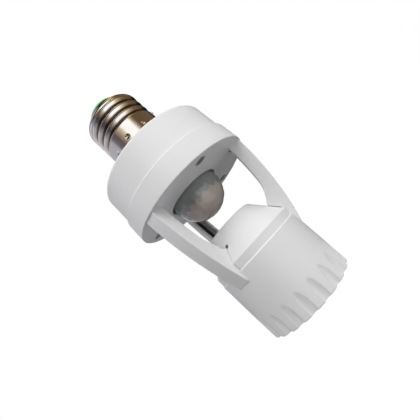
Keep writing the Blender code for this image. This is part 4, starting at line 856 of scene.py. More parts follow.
class LAMPHOLDER_OT_cup(bpy.types.Operator):
    """Moulds the lamp cup: fluted skirt, sunk band, cone, pockets and lead holes"""
    bl_idname = "lampholder.cup"
    bl_label = "Lamp cup"

    def execute(self, context):
        cup = context.scene.lampholder_cup
        top, radius, wall = CUP.z, CUP.x, 1.6 * MM
        slope = cone_slope(cup)
        slant = wall * math.hypot(1.0, slope)
        band_foot = cup.cone_foot - cup.band_height
        ceiling = top - wall
        bead = BLOCK_LOW.z - 0.3 * MM
        inner_foot = cup.cone_foot + (radius - slant - cup.bore_radius) / slope
        outline = [
            (0.0, top), (cup.cone_top_radius, top, 1.2 * MM),
            (radius - cup.band_depth, cup.cone_foot + cup.band_depth / slope, 0.12 * MM),
            (radius - cup.band_depth, band_foot, 0.08 * MM),
            (radius, band_foot - cup.band_depth, 0.12 * MM), (cup.mouth_radius, 0.0, 0.35 * MM),
            (cup.bore_radius, 0.0, 0.2 * MM), (cup.bore_radius, bead - 1.0 * MM, 0.2 * MM),
            (cup.bore_radius - 0.5 * MM, bead - 0.25 * MM, 0.2 * MM), (cup.bore_radius, bead, 0.1 * MM),
            (cup.bore_radius, inner_foot, 0.3 * MM), (cone_radius(ceiling, cup) - slant, ceiling, 0.6 * MM),
            (0.0, ceiling),
        ]
        points = filled(rounded(outline, closed=False, segments=4), 0.42 * MM, closed=False)
        points[0].x = points[-1].x = 0.0
        item = profile_object("fluted_lamp_cup", points)
        material = moulded_abs(context.scene.lampholder_finishes.housing[:])
        run_tree(item, fluted_tree(), {
            "Steps": 360, "Flutes": cup.flutes, "Mouth Radius": cup.mouth_radius, "Depth": cup.flute_depth,
            "Height": cup.flute_height, "Flute Radius": cup.flute_radius, "Bluntness": 2.2,
            "Softness": 0.05 * MM, "Material": material})
        outward(item)
        tools = []
        frame_sizes = context.scene.lampholder_frame
        width = frame_sizes.strut_width
        pocket = rectangle(radius - MM, radius + 2 * MM, 24.4 * MM, 35 * MM)
        side_gap = rectangle(radius - MM, radius + MM, band_foot - 0.1 * MM, cup.cone_foot + 0.3 * MM)
        for angle in STRUT_ANGLES:
            tools.append(slab("pocket", pocket, width + 0.16 * MM, upright(angle)))
            tools.append(slab("side_gap", side_gap, width + 0.7 * MM, upright(angle)))
            tools.append(relief_pit(angle, frame_sizes, cup))
        height = cup.cone_foot + LEAD_RISE
        for angle in STRUT_ANGLES[:2]:
            hole = rod("lead_hole", 1.3 * MM, -5 * MM, 5 * MM)
            hole.data.transform(Matrix.Rotation(angle, 4, "Z")
                                @ Matrix.Translation((cone_radius(height, cup), 0.0, height))
                                @ Matrix.Rotation(math.pi / 2, 4, "Y"))
            tools.append(hole)
        combine(item, "DIFFERENCE", *tools)
        placed(item, "white_plastic", material, "lamp_cup", weighted=True)
        return {"FINISHED"}


class LAMPHOLDER_OT_frame(bpy.types.Operator):
    """Moulds the lower housing with its plate, screw wells and three channel struts"""
    bl_idname = "lampholder.frame"
    bl_label = "Strut frame"

    def execute(self, context):
        sizes, cup = context.scene.lampholder_frame, context.scene.lampholder_cup
        split, wall = FRAME_HIGH.z, 1.5 * MM
        floor = BASE + wall
        inner = sizes.top_radius - wall
        collar = context.scene.lampholder_lens.flange_radius + 0.3 * MM
        item = turned("strut_frame_moulding", [
            (sizes.top_radius, split, 0.4 * MM), (FRAME_HIGH.x, BASE, 0.4 * MM),
            (sizes.recess_radius + 0.3 * MM, BASE, 0.1 * MM), (sizes.recess_radius, BASE + 0.3 * MM, 0.1 * MM),
            (sizes.opening_radius + 0.3 * MM, BASE + 0.3 * MM, 0.1 * MM),
            (sizes.opening_radius, BASE + 0.6 * MM), (sizes.opening_radius, floor), (collar, floor),
            (collar, floor + 2.9 * MM), (collar + 1.2 * MM, floor + 2.9 * MM), (collar + 1.2 * MM, floor),
            (inner, floor, 0.3 * MM), (inner, split, 0.2 * MM)], steps=192)
        foot, inside = FRAME_LOW.z + 3.2 * MM, 5.2 * MM
        hollow = [(strut_outer(height, sizes) - sizes.strut_face, height)
                  for height in levels(foot, BASE, 24)[::-1]] + [(inside, foot), (inside, BASE)]
        solids, tools = [], []
        for angle in STRUT_ANGLES:
            solids.append(strut_solid(angle, sizes))
            tools.append(slab("channel", hollow, sizes.strut_width - 2 * sizes.strut_web, upright(angle)))
        for angle in SCREW_ANGLES:
            place = polar(sizes.screw_circle, angle)
            solids.append(rod("well", sizes.screw_hole + 0.8 * MM, BASE + 0.75 * MM, LEDGE + 1.5 * MM, place))
        combine(item, "UNION", *solids)
        slope = cone_slope(cup)
        gap = 0.26 * MM * math.hypot(1.0, slope)
        pocket_floor = CUP.x - 0.9 * MM
        meeting = cup.cone_foot + (CUP.x + gap - pocket_floor) / slope
        tools.append(turned("cup_space", [
            (0.0, CUP.z + 0.2 * MM), (cup.cone_top_radius + gap, CUP.z + 0.2 * MM), (pocket_floor, meeting),
            (pocket_floor, 0.0), (0.0, 0.0)], closed=False, steps=192))
        for angle in SCREW_ANGLES:
            place = polar(sizes.screw_circle, angle)
            tools.append(rod("screw_hole", sizes.screw_hole, BASE - MM, LEDGE, place))
            tools.append(rod("screw_hole_relief", sizes.screw_hole + 0.4 * MM, BASE + 0.6 * MM, LEDGE, place))
            tools.append(rod("shank_hole", SHANK_HOLE, LEDGE - MM, LEDGE + 2.5 * MM, place, steps=32))
        slot = [(22.0 * MM, BASE - 1.9 * MM), (23.0 * MM, BASE - 1.9 * MM), (23.4 * MM, BASE + 0.1 * MM),
                (22.4 * MM, BASE + 0.1 * MM)]
        for angle in STRUT_ANGLES:
            place = polar(WIRE_HOLE, angle)
            tools.append(rod("wire_hole", 1.7 * MM, BASE - MM, floor + MM, place))
            tools.append(rod("wire_hole_relief", 3.2 * MM, BASE + 0.4 * MM, floor + MM, place))
            tools.append(relief_pit(angle, sizes, cup))
            near_web = upright(angle) @ Matrix.Translation((0.0, 0.0, sizes.strut_width / 2))
            tools.append(slab("wire_slot", slot, 2.6 * MM, near_web))
        combine(item, "DIFFERENCE", *tools)
        material = moulded_abs(context.scene.lampholder_finishes.housing[:])
        placed(item, "white_plastic", material, "strut_frame", weighted=True)
        return {"FINISHED"}


class LAMPHOLDER_OT_housing(bpy.types.Operator):
    """Moulds the upper housing: wall, rounded shoulder, roof, neck, bosses and posts"""
    bl_idname = "lampholder.housing"
    bl_label = "Upper housing"

    def execute(self, context):
        sizes, frame_sizes = context.scene.lampholder_housing, context.scene.lampholder_frame
        radius, shoulder_radius = HOUSING_HIGH.x, sizes.shoulder_radius
        foot = FRAME_HIGH.z + 0.05 * MM
        spigot = frame_sizes.top_radius - 1.8 * MM
        wall = 1.6 * MM
        roof_inner = sizes.roof - wall
        inner = shoulder_radius - wall
        fillet = sizes.roof - sizes.shoulder
        edge = shoulder_radius - fillet
        slope = (sizes.neck_foot - sizes.roof) / (edge - sizes.neck_radius)
        neck_bore = sizes.neck_radius - 1.8 * MM
        item = turned("upper_housing_moulding", [
            (sizes.neck_radius, HOUSING_HIGH.z, 0.4 * MM), (sizes.neck_radius, sizes.neck_foot, 0.8 * MM),
            (edge, sizes.roof, 2.0 * MM), (shoulder_radius, sizes.roof, 0.85 * fillet),
            (shoulder_radius, sizes.shoulder, 2.0 * MM), (radius, foot, 0.2 * MM), (spigot, foot),
            (spigot, HOUSING_LOW.z, 0.2 * MM), (spigot - MM, HOUSING_LOW.z, 0.2 * MM), (spigot - MM, foot),
            (inner, sizes.shoulder, 1.0 * MM), (inner - fillet, roof_inner, 1.0 * MM),
            (neck_bore, sizes.neck_foot - wall), (neck_bore, HOUSING_HIGH.z, 0.2 * MM)],
            steps=192, segments=10)
        boss, board = 2.2 * MM, BOARD_LOW.z
        solids, tools = [], []
        for angle in SCREW_ANGLES:
            place = polar(frame_sizes.screw_circle, angle)
            solids.append(rod("boss", boss, LEDGE + 1.8 * MM, sizes.roof - 0.8 * MM, place))
            tools.append(rod("pilot", SHANK_HOLE, LEDGE + 0.8 * MM, LEDGE + 12.3 * MM, place, steps=32))
        post_top = sizes.roof + slope * (edge - 19.5 * MM) - 0.4 * MM
        for side in (1, -1):
            place = (0.0, side * POST)
            solids.append(rod("post", boss, board + 1.9 * MM, post_top, place))
            tools.append(rod("post_pilot", SHANK_HOLE, board + 0.6 * MM, board + 7.8 * MM, place, steps=32))
        combine(item, "UNION", *solids)
        combine(item, "DIFFERENCE", *tools)
        material = moulded_abs(context.scene.lampholder_finishes.housing[:])
        placed(item, "white_plastic", material, "upper_housing", weighted=True)
        return {"FINISHED"}


class LAMPHOLDER_OT_cap_shell(bpy.types.Operator):
    """Rolls the screw cap: flared skirt with staking dents, thread and turned-in end"""
    bl_idname = "lampholder.cap_shell"
    bl_label = "Screw cap"

    def execute(self, context):
        cap, finishes = context.scene.lampholder_cap, context.scene.lampholder_finishes
        crest, skirt, wall = cap.crest_radius, cap.skirt_radius, 0.5 * MM
        foot, end = SHELL_LOW.z, SHELL_HIGH.z
        lip = crest - 2.0 * MM
        flare = SHELL_HIGH.x - skirt
        middle = crest - cap.end_bend
        turns = [TURN * step / 32 for step in range(8, 0, -1)]
        over, under = (
            [(middle + bend * math.cos(turn), cap.thread_top + bend * math.sin(turn)) for turn in turns]
            for bend in (cap.end_bend, cap.end_bend - wall))
        outline = [
            (lip, end), *over, (crest, cap.thread_top), (crest, cap.thread_foot, 0.5 * MM),
            (skirt, cap.thread_foot - 1.3 * MM, 0.5 * MM), (skirt, foot + 1.3 * MM, 0.8 * MM),
            (skirt + flare, foot, 0.12 * MM), (skirt + flare - wall, foot, 0.12 * MM),
            (skirt - wall, foot + 1.3 * MM, 0.8 * MM), (skirt - wall, cap.thread_foot - 1.3 * MM, 0.5 * MM),
            (crest - wall, cap.thread_foot, 0.5 * MM), (crest - wall, cap.thread_top), *under[::-1],
            (lip, end - wall)]
        points = filled(rounded(outline), 0.2 * MM)
        item = profile_object("rolled_screw_cap", points + points[:1])
        material = nickel_plated_brass(finishes.nickel[:], finishes.brass[:])
        run_tree(item, rolled_thread_tree(), {
            "Steps": 224, "Pitch": cap.pitch, "Depth": cap.depth, "Thread Foot": cap.thread_foot,
            "Thread Top": cap.thread_top, "Run-in": cap.run_in, "Start": cap.start, "Dents": cap.dents,
            "Dent Start": cap.dent_start, "Dent Height": cap.dent_height, "Dent Radius": cap.dent_radius,
            "Dent Depth": cap.dent_depth, "Material": material})
        outward(item)
        placed(item, "nickel_plate", material, "screw_shell", sharp=50)
        return {"FINISHED"}


class LAMPHOLDER_OT_cap_end(bpy.types.Operator):
    """Makes the green insulator at the cap's end and the tip contact in it"""
    bl_idname = "lampholder.cap_end"
    bl_label = "Cap insulator and tip"

    def execute(self, context):
        cap, finishes = context.scene.lampholder_cap, context.scene.lampholder_finishes
        end = SHELL_HIGH.z
        inside = cap.crest_radius - cap.depth - 0.8 * MM
        lip = cap.crest_radius - 2.3 * MM
        seat = TIP_LOW.z
        contact = TIP_HIGH.x
        insulator = turned("glass_filled_insulator", [
            (7.7 * MM, INSULATOR_HIGH.z, 0.4 * MM), (lip, end + 0.1 * MM, 0.3 * MM), (lip, end - 0.8 * MM),
            (inside, end - 0.8 * MM, 0.2 * MM), (inside, INSULATOR_LOW.z, 0.4 * MM),
            (0.9 * MM, INSULATOR_LOW.z), (0.9 * MM, seat - 0.3 * MM), (contact + 0.12 * MM, seat - 0.3 * MM),
            (contact + 0.12 * MM, INSULATOR_HIGH.z, 0.2 * MM)], steps=160)
        glass = speckled("glass_filled_insulator", finishes.insulator[:], 0.35 * MM, 0.12, 0.3, IOR=1.55,
                         Coat_Weight=0.3)
        # Painted shade: the insulator is near-black below its top, a dark ring next to the metal
        painted_shade_ring(glass, end + 3.1 * MM, end + 3.5 * MM)
        placed(insulator, "green_insulator", glass, "cap_insulator")
        tip = turned("stamped_tip_contact", [
            (0.0, TIP_HIGH.z), (contact - 1.2 * MM, TIP_HIGH.z, 0.5 * MM),
            (contact, TIP_HIGH.z - 1.0 * MM, 0.6 * MM), (contact, seat), (0.0, seat)], closed=False, steps=96)
        placed(tip, "brass", stamped_brass(finishes.brass[:]), "tip_contact")
        return {"FINISHED"}


class LAMPHOLDER_OT_lens(bpy.types.Operator):
    """Moulds the lens dome with its rows of small lenses, and its flange"""
    bl_idname = "lampholder.lens"
    bl_label = "Lens dome"

    def execute(self, context):
        sizes = context.scene.lampholder_lens
        centre = DOME_LOW.z + sizes.radius
        seat, top = DOME_HIGH.z - 0.7 * MM, DOME_HIGH.z
        per_row, columns = 9, 288
        shape = bmesh.new()

        def ring(radius=0.0, height=0.0, swollen=None):
            """A ring of corners, at one radius and height or where a function of the angle puts them."""
            made = []
            for column in range(columns):
                angle = TURN * column / columns
                reach, level = swollen(angle) if swollen else (radius, height)
                made.append(shape.verts.new((*polar(reach, angle), level)))
            return made

        def domed(tilt, share, count, shift):
            """A ring of the outer skin, on which each small lens swells between its borders."""
            def place(angle):
                across = (angle / TURN * count + shift) % 1.0
                swell = sizes.relief * (1 - (2 * across - 1) ** 2) * (1 - (2 * share - 1) ** 2)
                reach = sizes.radius - sizes.relief + swell
                return reach * math.cos(tilt), centre - reach * math.sin(tilt)
            return place

        lenses_in_row = (24, 18, 12, 9, 6)
        rings = [ring(sizes.flange_radius, top), ring(sizes.flange_radius, seat), ring(sizes.radius, seat)]
        row_height = math.pi / 2 / sizes.rows
        for row in range(sizes.rows):
            count = lenses_in_row[min(row, len(lenses_in_row) - 1)]
            for step in range(per_row):
                share = step / per_row
                tilt = row_height * (row + share)
                rings.append(ring(swollen=domed(tilt, share, count, 0.5 * (row % 2))))
        rings.append(ring(height=DOME_LOW.z + sizes.relief))
        hollow = sizes.radius - sizes.wall
        for step in range(24, -1, -1):
            tilt = math.pi / 2 * step / 24
            rings.append(ring(hollow * math.cos(tilt) if step < 24 else 0.0, centre - hollow * math.sin(tilt)))
        rings.append(ring(hollow, top))
        for first, second in zip(rings, rings[1:] + rings[:1]):
            for column in range(columns):
                after = (column + 1) % columns
                shape.faces.new((first[column], first[after], second[after], second[column]))
        item = from_bmesh("fresnel_lens_dome", shape)
        placed(item, "milky_lens", milky_polyethylene(context.scene.lampholder_finishes.lens[:]), "lens_dome",
               sharp=35)
        return {"FINISHED"}


class LAMPHOLDER_OT_fasteners(bpy.types.Operator):
    """Makes the housing screws, the board screws and the socket's two rivets"""
    bl_idname = "lampholder.fasteners"
    bl_label = "Screws and rivets"

    def screw(self, name, foot, top):
        """One cross-recessed pan-head screw on the axis, pointing up."""
        radius, head, pitch, depth = 1.15 * MM, 1.95 * MM, 0.8 * MM, 0.16 * MM
        under = foot + 1.6 * MM
        thread = [(radius - depth * (0.5 + 0.5 * math.cos(TURN * (level - under) / pitch)), level)
                  for level in levels(under, top - 0.8 * MM, 60)]
        item = turned(name, [
            (0.0, top), (0.6 * radius, top), *thread[::-1], (head, under, 0.15 * MM), (head, foot, 0.55 * MM),
            (0.0, foot)], closed=False, steps=48)
        wing = [(-1.05 * MM, foot - MM), (1.05 * MM, foot - MM), (0.85 * MM, foot + 0.4 * MM),
                (0.3 * MM, foot + 0.9 * MM), (-0.3 * MM, foot + 0.9 * MM), (-0.85 * MM, foot + 0.4 * MM)]
        wings = [slab("recess", wing, 0.5 * MM, upright(turn)) for turn in (0.0, math.pi / 2)]
        return combine(item, "DIFFERENCE", *wings)

    def pair(self, item):
        """Two board screws, one on each side of the axis."""
        shape = bmesh.new()
        for side in (1, -1):
            start = len(shape.verts)
            shape.from_mesh(item.data)
            shape.verts.ensure_lookup_table()
            bmesh.ops.translate(shape, vec=(0.0, side * POST, 0.0), verts=shape.verts[start:])
        shape.to_mesh(item.data)
        shape.free()
        return item

    def execute(self, context):
        frame_sizes, finishes = context.scene.lampholder_frame, context.scene.lampholder_finishes
        steel, brass = zinc_plated_steel(finishes.zinc[:]), stamped_brass(finishes.brass[:])
        # Painted shade: the housing screws are drawn near-black, so that their deep holes read dark
        black = speckled("painted_shade_dark_screw", srgb("#2A2624"), 0.3 * MM, 0.2, 0.45)
        screws = self.screw("housing_screws", SCREW_LOW.z, SCREW_HIGH.z)
        run_tree(screws, ring_tree(), {"Count": 3, "Radius": frame_sizes.screw_circle, "Start": SCREW_ANGLES[0],
                                       "Material": black})
        placed(screws, "zinc_steel", black, "housing_screw_1", "housing_screw_2", "housing_screw_3")
        screws = self.screw("board_screws", BOARD_SCREW_LOW.z, BOARD_SCREW_HIGH.z)
        placed(self.pair(screws), "zinc_steel", steel, "board_screw_1", "board_screw_2")
        for node in ("contact_rivet", "shell_rivet"):
            low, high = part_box(node)
            middle = (low + high) / 2
            reach, stem, head = (high.x - low.x) / 2, 0.8 * MM, 0.7 * MM
            rivet = turned("brass_" + node, [
                (0.0, high.z), (reach, high.z, 0.35 * MM), (reach, high.z - head), (stem, high.z - head),
                (stem, low.z + head), (reach, low.z + head), (reach, low.z, 0.35 * MM), (0.0, low.z)],
                closed=False, steps=48)
            rivet.data.transform(Matrix.Translation((middle.x, middle.y, 0.0)))
            placed(rivet, "brass", brass, node)
        return {"FINISHED"}


class LAMPHOLDER_OT_socket(bpy.types.Operator):
    """Makes the lamp socket: threaded sleeve, moulded floor and sprung tongue"""
    bl_idname = "lampholder.socket"
    bl_label = "Lamp socket"

    def execute(self, context):
        sizes, cap = context.scene.lampholder_socket, context.scene.lampholder_cap
        finishes = context.scene.lampholder_finishes
        nickel = nickel_plated_brass(finishes.nickel[:], finishes.brass[:])
        brass = stamped_brass(finishes.brass[:])
        sleeve_rivet = polar(SLEEVE_RIVET, STRUT_ANGLES[0])
        tongue_rivet = polar(TONGUE_RIVET, STRUT_ANGLES[1])
        inner, outer = sizes.thread_radius, sizes.thread_radius + sizes.wall
        foot, top = SLEEVE_LOW.z, SLEEVE_HIGH.z
        lip, flare = inner - 3.6 * MM, 0.3 * MM
        outline = [
            (lip, top), (outer, top, 0.8 * MM), (outer, foot + MM, 0.3 * MM),
            (outer + flare, foot, 0.08 * MM), (inner + flare, foot, 0.08 * MM), (inner, foot + MM, 0.3 * MM),
            (inner, top - sizes.wall, 0.5 * MM), (lip, top - sizes.wall)]
        points = filled(rounded(outline), 0.25 * MM)
        sleeve = profile_object("threaded_socket_sleeve", points + points[:1])
        run_tree(sleeve, rolled_thread_tree(), {
            "Steps": 192, "Pitch": cap.pitch, "Depth": cap.depth, "Thread Foot": foot + 1.0 * MM,
            "Thread Top": top - 2.2 * MM, "Run-in": cap.run_in, "Start": cap.start, "Dents": 3,
            "Dent Start": 0.0, "Dent Height": -1.0, "Dent Radius": 0.1 * MM, "Dent Depth": 0.0,
            "Material": nickel})
        outward(sleeve)
        combine(sleeve, "DIFFERENCE", rod("hole", RIVET_HOLE, top - MM, top + MM, sleeve_rivet))
        placed(sleeve, "nickel_plate", nickel, "socket_shell", sharp=50)

        radius, low, high = BLOCK_HIGH.x, BLOCK_LOW.z, BLOCK_HIGH.z
        face = high - 1.2 * MM
        floor = turned("phenolic_socket_floor", [
            (0.0, high), (8.6 * MM, high, 0.5 * MM), (8.6 * MM, face, 0.3 * MM), (radius - 0.9 * MM, face),
            (radius, face - 0.9 * MM, 0.2 * MM), (radius, low, 0.4 * MM), (0.0, low)], closed=False, steps=160)
        combine(floor, "DIFFERENCE", *(rod("rivet_hole", RIVET_HOLE, low - MM, high + MM, place)
                                       for place in (tongue_rivet, sleeve_rivet)))
        phenolic = speckled("moulded_phenolic", finishes.phenolic[:], 0.25 * MM, 0.35, 0.45)
        placed(floor, "dark_phenolic", phenolic, "socket_insulator")

        level = low - 0.3 * MM
        flat = level - sizes.tongue_drop
        thick, bend = 0.4 * MM, 1.0 * MM
        upper = [Vector(point) for point in (
            (8.2 * MM, level), (4.3 * MM, level), (2.0 * MM, flat), (-2.0 * MM, flat),
            (-3.2 * MM, flat + 0.7 * MM))]
        bent = rounded([(*point, bend) for point in upper], closed=False, segments=6)
        under = []
        for index, point in enumerate(bent):
            along = (bent[min(index + 1, len(bent) - 1)] - bent[max(index - 1, 0)]).normalized()
            under.append(point + Vector((-along.y, along.x)) * thick)
        tongue = slab("sprung_contact_tongue", bent + under[::-1], sizes.tongue_width, upright(STRUT_ANGLES[1]))
        combine(tongue, "DIFFERENCE", rod("hole", RIVET_HOLE, level - 2 * MM, level + MM, tongue_rivet))
        placed(tongue, "brass", brass, "socket_contact")
        return {"FINISHED"}


class LAMPHOLDER_OT_leads(bpy.types.Operator):
    """Draws the insulated leads in the struts and in the neck"""
    bl_idname = "lampholder.leads"
    bl_label = "Leads"

    def execute(self, context):
        sizes, cup = context.scene.lampholder_frame, context.scene.lampholder_cup
        white = speckled("white_pvc_cover", srgb("#D9D7D0"), 0.6 * MM, 0.05, 0.45)
        black = speckled("black_pvc_cover", srgb("#242424"), 0.6 * MM, 0.15, 0.42)
        back = sizes.strut_face + 0.3 * MM + LEAD_RADIUS
        entry = cup.cone_foot + LEAD_RISE
        reach = cone_radius(entry, cup)
        for name, angle, node, rivet, rivet_node, slot, cover in (
                ("neutral_lead", STRUT_ANGLES[0], "lead_neutral", SLEEVE_RIVET, "shell_rivet",
                 "white_wire_cover", white),
                ("live_lead", STRUT_ANGLES[1], "lead_live", TONGUE_RIVET, "contact_rivet",
                 "black_wire_cover", black)):
            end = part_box(rivet_node)[1].z + 0.8 * MM
            route = [(18.6 * MM, BOARD_LOW.z - 1.05 * MM), (WIRE_HOLE - 1.2 * MM, BOARD_LOW.z - 1.65 * MM),
                     (WIRE_HOLE, BASE + 2.7 * MM), (WIRE_HOLE, BASE - 0.6 * MM)]
            route += [(strut_outer(height, sizes) - back, height) for height in levels(CUP.z, 54 * MM, 6)[::-1]]
            route += [(reach + 2.6 * MM, entry + 2.0 * MM), (reach, entry),
                      (reach - 2.6 * MM, entry - 0.2 * MM), (rivet, end)]
            turn = Matrix.Rotation(angle, 4, "Z")
            points = [turn @ Vector((radius, 0.0, height)) for radius, height in route]
            placed(tube(name, points, LEAD_RADIUS), slot, cover, node)

        near = 0.6 * MM
        low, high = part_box("cap_lead_tip")
        route = [(0, 0, high.z), (0, 0, high.z - 9 * MM), (0.5 * MM, 0.5 * MM, 91.7 * MM),
                 (1.6 * MM, 1.6 * MM, 83.5 * MM), (1.8 * MM, 1.8 * MM, low.z + 4 * MM),
                 (1.8 * MM, 1.8 * MM, low.z)]
        placed(tube("cap_lead_tip_cover", route, near), "black_wire_cover", black, "cap_lead_tip")
        low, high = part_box("cap_lead_shell")
        route = [(high.x - near, 0, 96.9 * MM), (9.05 * MM, 0, 96.5 * MM), (8.65 * MM, 0, 93.7 * MM),
                 (6 * MM, -1 * MM, 83.5 * MM), (13 * MM, -3.2 * MM, low.z + 6 * MM),
                 (13.4 * MM, -3.4 * MM, low.z)]
        placed(tube("cap_lead_shell_cover", route, near), "white_wire_cover", white, "cap_lead_shell")
        return {"FINISHED"}


class LAMPHOLDER_OT_electronics(bpy.types.Operator):
    """Gives the sensor, the board and its parts their finishes"""
    bl_idname = "lampholder.electronics"
    bl_label = "Electronics"

    def execute(self, context):
        finishes = context.scene.lampholder_finishes
        natural = speckled("natural_nylon", srgb("#CFCBBE"), 0.8 * MM, 0.05, 0.5, Subsurface_Weight=0.1,
                           Subsurface_Scale=MM)
        laminate = speckled("solder_masked_laminate", finishes.laminate[:], 0.5 * MM, 0.12, 0.35,
                            Coat_Weight=0.4)
        window = speckled("filter_window", srgb("#1B1B20"), 0.7 * MM, 0.2, 0.12, IOR=1.6)
        relay = speckled("relay_case", srgb("#27408B"), 0.4 * MM, 0.06, 0.35)
        film = speckled("dipped_film_case", srgb("#B4701F"), 0.5 * MM, 0.10, 0.4)
        epoxy = speckled("moulded_epoxy", srgb("#1E1E20"), 0.12 * MM, 0.25, 0.6)
        sleeve = speckled("shrunk_sleeve", srgb("#1A2238"), 0.6 * MM, 0.10, 0.3, Coat_Weight=0.3)
        disc = speckled("photocell_disc", srgb("#B5713A"), 0.25 * MM, 0.35, 0.3, Coat_Weight=0.6)
        can = zinc_plated_steel(finishes.zinc[:])
        for node, material in (
                ("lens_retainer", natural), ("circuit_board", laminate), ("pir_window", window),
                ("relay", relay), ("film_capacitor", film), ("control_chip", epoxy), ("rectifier", epoxy),
                ("smoothing_capacitor", sleeve), ("photocell", disc), ("pir_sensor", can)):
            dressed(node, material)
        return {"FINISHED"}


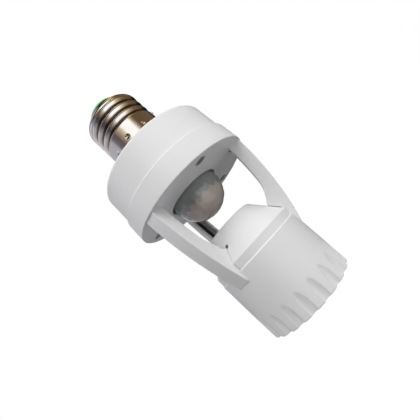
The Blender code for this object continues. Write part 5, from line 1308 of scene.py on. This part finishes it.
class LAMPHOLDER_OT_stage(bpy.types.Operator):
    """Sets up the pale floor, the white surround, the soft lamps, the paper tent and the camera"""
    bl_idname = "lampholder.stage"
    bl_label = "Studio"

    def execute(self, context):
        scene, studio = context.scene, context.scene.lampholder_studio
        scene.view_settings.view_transform = "Standard"
        shape = bmesh.new()
        bmesh.ops.create_grid(shape, x_segments=1, y_segments=1, size=3.0)
        floor = from_bmesh("pale_floor", shape)
        floor.data.materials.append(self.floor_finish(studio.floor[:]))
        self.surround(scene, studio.sky)
        for name, place, size, power in LAMPS:
            self.lamp(name, place, size, studio.level * power)
        self.tent()
        self.camera(scene)
        return {"FINISHED"}

    def floor_finish(self, base):
        """Matt paper, which seen directly or mirrored is white but for the holder's faint shadow."""
        material = bpy.data.materials.new("matt_paper")
        tree = emptied(material)
        place = add(tree, "TexCoord").outputs["Object"]
        pulp = add(tree, "TexNoise", {"Vector": place, "Scale": 1 / (30 * MM)})
        tone = add(tree, "Mix", {FACTOR: pulp, FIRST: shade(base, 0.98), SECOND: shade(base, 1.02)},
                   data_type="RGBA")
        matt = add(tree, "BsdfDiffuse", {"Color": tone.outputs[MIXED]})
        distance = add(tree, "VectorMath", place, operation="LENGTH")
        white = add(tree, "MapRange", distance.outputs["Value"], 0.1, 0.5, 0.84, 1.0)
        glow = add(tree, "Emission", {"Color": (1, 1, 1, 1), "Strength": white})
        both = add(tree, "AddShader", matt, glow)
        add(tree, "OutputMaterial", add(tree, "MixShader", seen_rays(tree), matt, both))
        return material

    def surround(self, scene, sky):
        """White where it is seen or mirrored, and otherwise a soft light from all round."""
        scene.world = bpy.data.worlds.new("surround")
        tree = emptied(scene.world)
        white = add(tree, "Background", (1, 1, 1, 1), 1.0)
        soft = add(tree, "Background", (1, 1, 1, 1), sky)
        add(tree, "OutputWorld", add(tree, "MixShader", seen_rays(tree), soft, white))

    def tent(self):
        """A round paper tent over the holder, with its floor, which only metal and gloss mirror."""
        middle, reach = 0.1, 0.9
        foot = 2 * MM
        outline = [(0.05, foot), (reach, foot)] + [
            (reach * math.cos(tilt), middle + reach * math.sin(tilt)) for tilt in levels(0.0, TURN / 4, 24)]
        outline[-1] = (0.0, middle + reach)
        tent = turned("light_tent", outline, steps=96, closed=False)
        for kind in ("camera", "diffuse", "transmission", "shadow"):
            setattr(tent, "visible_" + kind, False)
        material = bpy.data.materials.new("tent_paper")
        tree = emptied(material)
        place = add(tree, "TexCoord").outputs["Object"]
        axes = add(tree, "SeparateXYZ", place)
        angle = add(tree, "Math", axes.outputs["Y"], axes.outputs["X"], operation="ARCTAN2")
        part = add(tree, "Math", angle, 1 / TURN, -0.25, operation="MULTIPLY_ADD")
        share = add(tree, "Math", part, 1.0, 0.0, operation="WRAP")
        towards = add(tree, "VectorMath", place, (0.0, 0.0, middle), operation="SUBTRACT")
        straight = add(tree, "VectorMath", towards, operation="NORMALIZE")
        rise = add(tree, "SeparateXYZ", straight).outputs["Z"]
        colours = self.panels(tree, share, TENT_FLOOR)
        for panels, start, end in TENT_ROWS:
            blend = add(tree, "MapRange", rise, math.sin(math.radians(start)), math.sin(math.radians(end)),
                        interpolation_type="SMOOTHSTEP")
            row = self.panels(tree, share, panels)
            colours = add(tree, "Mix", {FACTOR: blend, FIRST: colours, SECOND: row},
                          data_type="RGBA").outputs[MIXED]
        glow = add(tree, "Emission", {"Color": colours})
        add(tree, "OutputMaterial", glow)
        tent.data.materials.append(material)

    def panels(self, tree, share, panels):
        """One row of the tent's panels as a ramp round the axis, which starts behind the holder."""
        node = add(tree, "ValToRGB", share)
        ramp = node.color_ramp
        ramp.interpolation = "EASE"
        ramp.elements.remove(ramp.elements[1])
        for number, (azimuth, code, strength) in enumerate(panels):
            position = (azimuth - 90) / 360
            stop = ramp.elements.new(position) if number else ramp.elements[0]
            stop.position = position
            stop.color = [strength * part for part in srgb(code)[:3]] + [1.0]
        return node.outputs[0]

    def lamp(self, name, place, size, power):
        """A square soft lamp, turned to the middle of the holder."""
        lamp = bpy.data.lights.new(name, "AREA")
        lamp.size = size
        lamp.energy = power
        item = bpy.data.objects.new(name, lamp)
        bpy.context.scene.collection.objects.link(item)
        item.location = place
        item.rotation_euler = (Vector((0, 0, 0.06)) - Vector(place)).to_track_quat("-Z", "Y").to_euler()
        item.visible_glossy = False

    def camera(self, scene):
        """The photograph's view: close, from a little below the lens, and rolled.

        The camera's three axes were fitted to the photograph's outlines, each in parts of three directions.
        """
        yaw = math.radians(7)
        towards = Vector((math.sin(yaw), -math.cos(yaw), 0))
        side = Vector((math.cos(yaw), math.sin(yaw), 0))
        below = Vector((0, 0, -1))
        right = -0.1484 * towards + 0.6711 * side + 0.7263 * below
        down = -0.1227 * towards - 0.7413 * side + 0.6599 * below
        ahead = -0.9813 * towards - 0.0088 * side - 0.1924 * below
        drop, distance = 31.2 * MM, 111.39 * MM
        place = Vector((0, 0, BASE)) + below * drop + towards * distance
        camera = bpy.data.objects.new("camera", bpy.data.cameras.new("camera"))
        scene.collection.objects.link(camera)
        camera.data.lens = 24
        camera.data.sensor_width = 36
        camera.data.clip_start = MM
        camera.matrix_world = Matrix((
            (right.x, -down.x, -ahead.x, place.x), (right.y, -down.y, -ahead.y, place.y),
            (right.z, -down.z, -ahead.z, place.z), (0, 0, 0, 1)))
        scene.camera = camera


GROUPS = {
    "lampholder_cup": CupSizes, "lampholder_frame": FrameSizes, "lampholder_housing": HousingSizes,
    "lampholder_cap": CapSizes, "lampholder_socket": SocketSizes, "lampholder_lens": LensSizes,
    "lampholder_finishes": Finishes, "lampholder_studio": Studio,
}
PIECES = (
    LAMPHOLDER_OT_cup, LAMPHOLDER_OT_frame, LAMPHOLDER_OT_housing, LAMPHOLDER_OT_cap_shell,
    LAMPHOLDER_OT_cap_end, LAMPHOLDER_OT_lens, LAMPHOLDER_OT_fasteners, LAMPHOLDER_OT_socket,
    LAMPHOLDER_OT_leads, LAMPHOLDER_OT_electronics, LAMPHOLDER_OT_stage,
)


class LAMPHOLDER_PT_pieces(bpy.types.Panel):
    """Lists the lamp holder's pieces and their sizes"""
    bl_label = "Motion sensor lamp holder"
    bl_idname = "LAMPHOLDER_PT_pieces"
    bl_space_type = "VIEW_3D"
    bl_region_type = "UI"
    bl_category = "Lamp Holder"

    def draw(self, context):
        for piece in PIECES:
            self.layout.operator(piece.bl_idname)
        for name in GROUPS:
            box = self.layout.box()
            group = getattr(context.scene, name)
            for key in group.__annotations__:
                box.prop(group, key)


def register():
    for kind in (*GROUPS.values(), *PIECES, LAMPHOLDER_PT_pieces):
        bpy.utils.register_class(kind)
    for name, group in GROUPS.items():
        setattr(bpy.types.Scene, name, PointerProperty(type=group))


def unregister():
    for name in GROUPS:
        delattr(bpy.types.Scene, name)
    for kind in (LAMPHOLDER_PT_pieces, *PIECES[::-1], *GROUPS.values()):
        bpy.utils.unregister_class(kind)


def main():
    register()
    for piece in PIECES:
        group, name = piece.bl_idname.split(".")
        getattr(getattr(bpy.ops, group), name)()


if __name__ == "__main__":
    main()
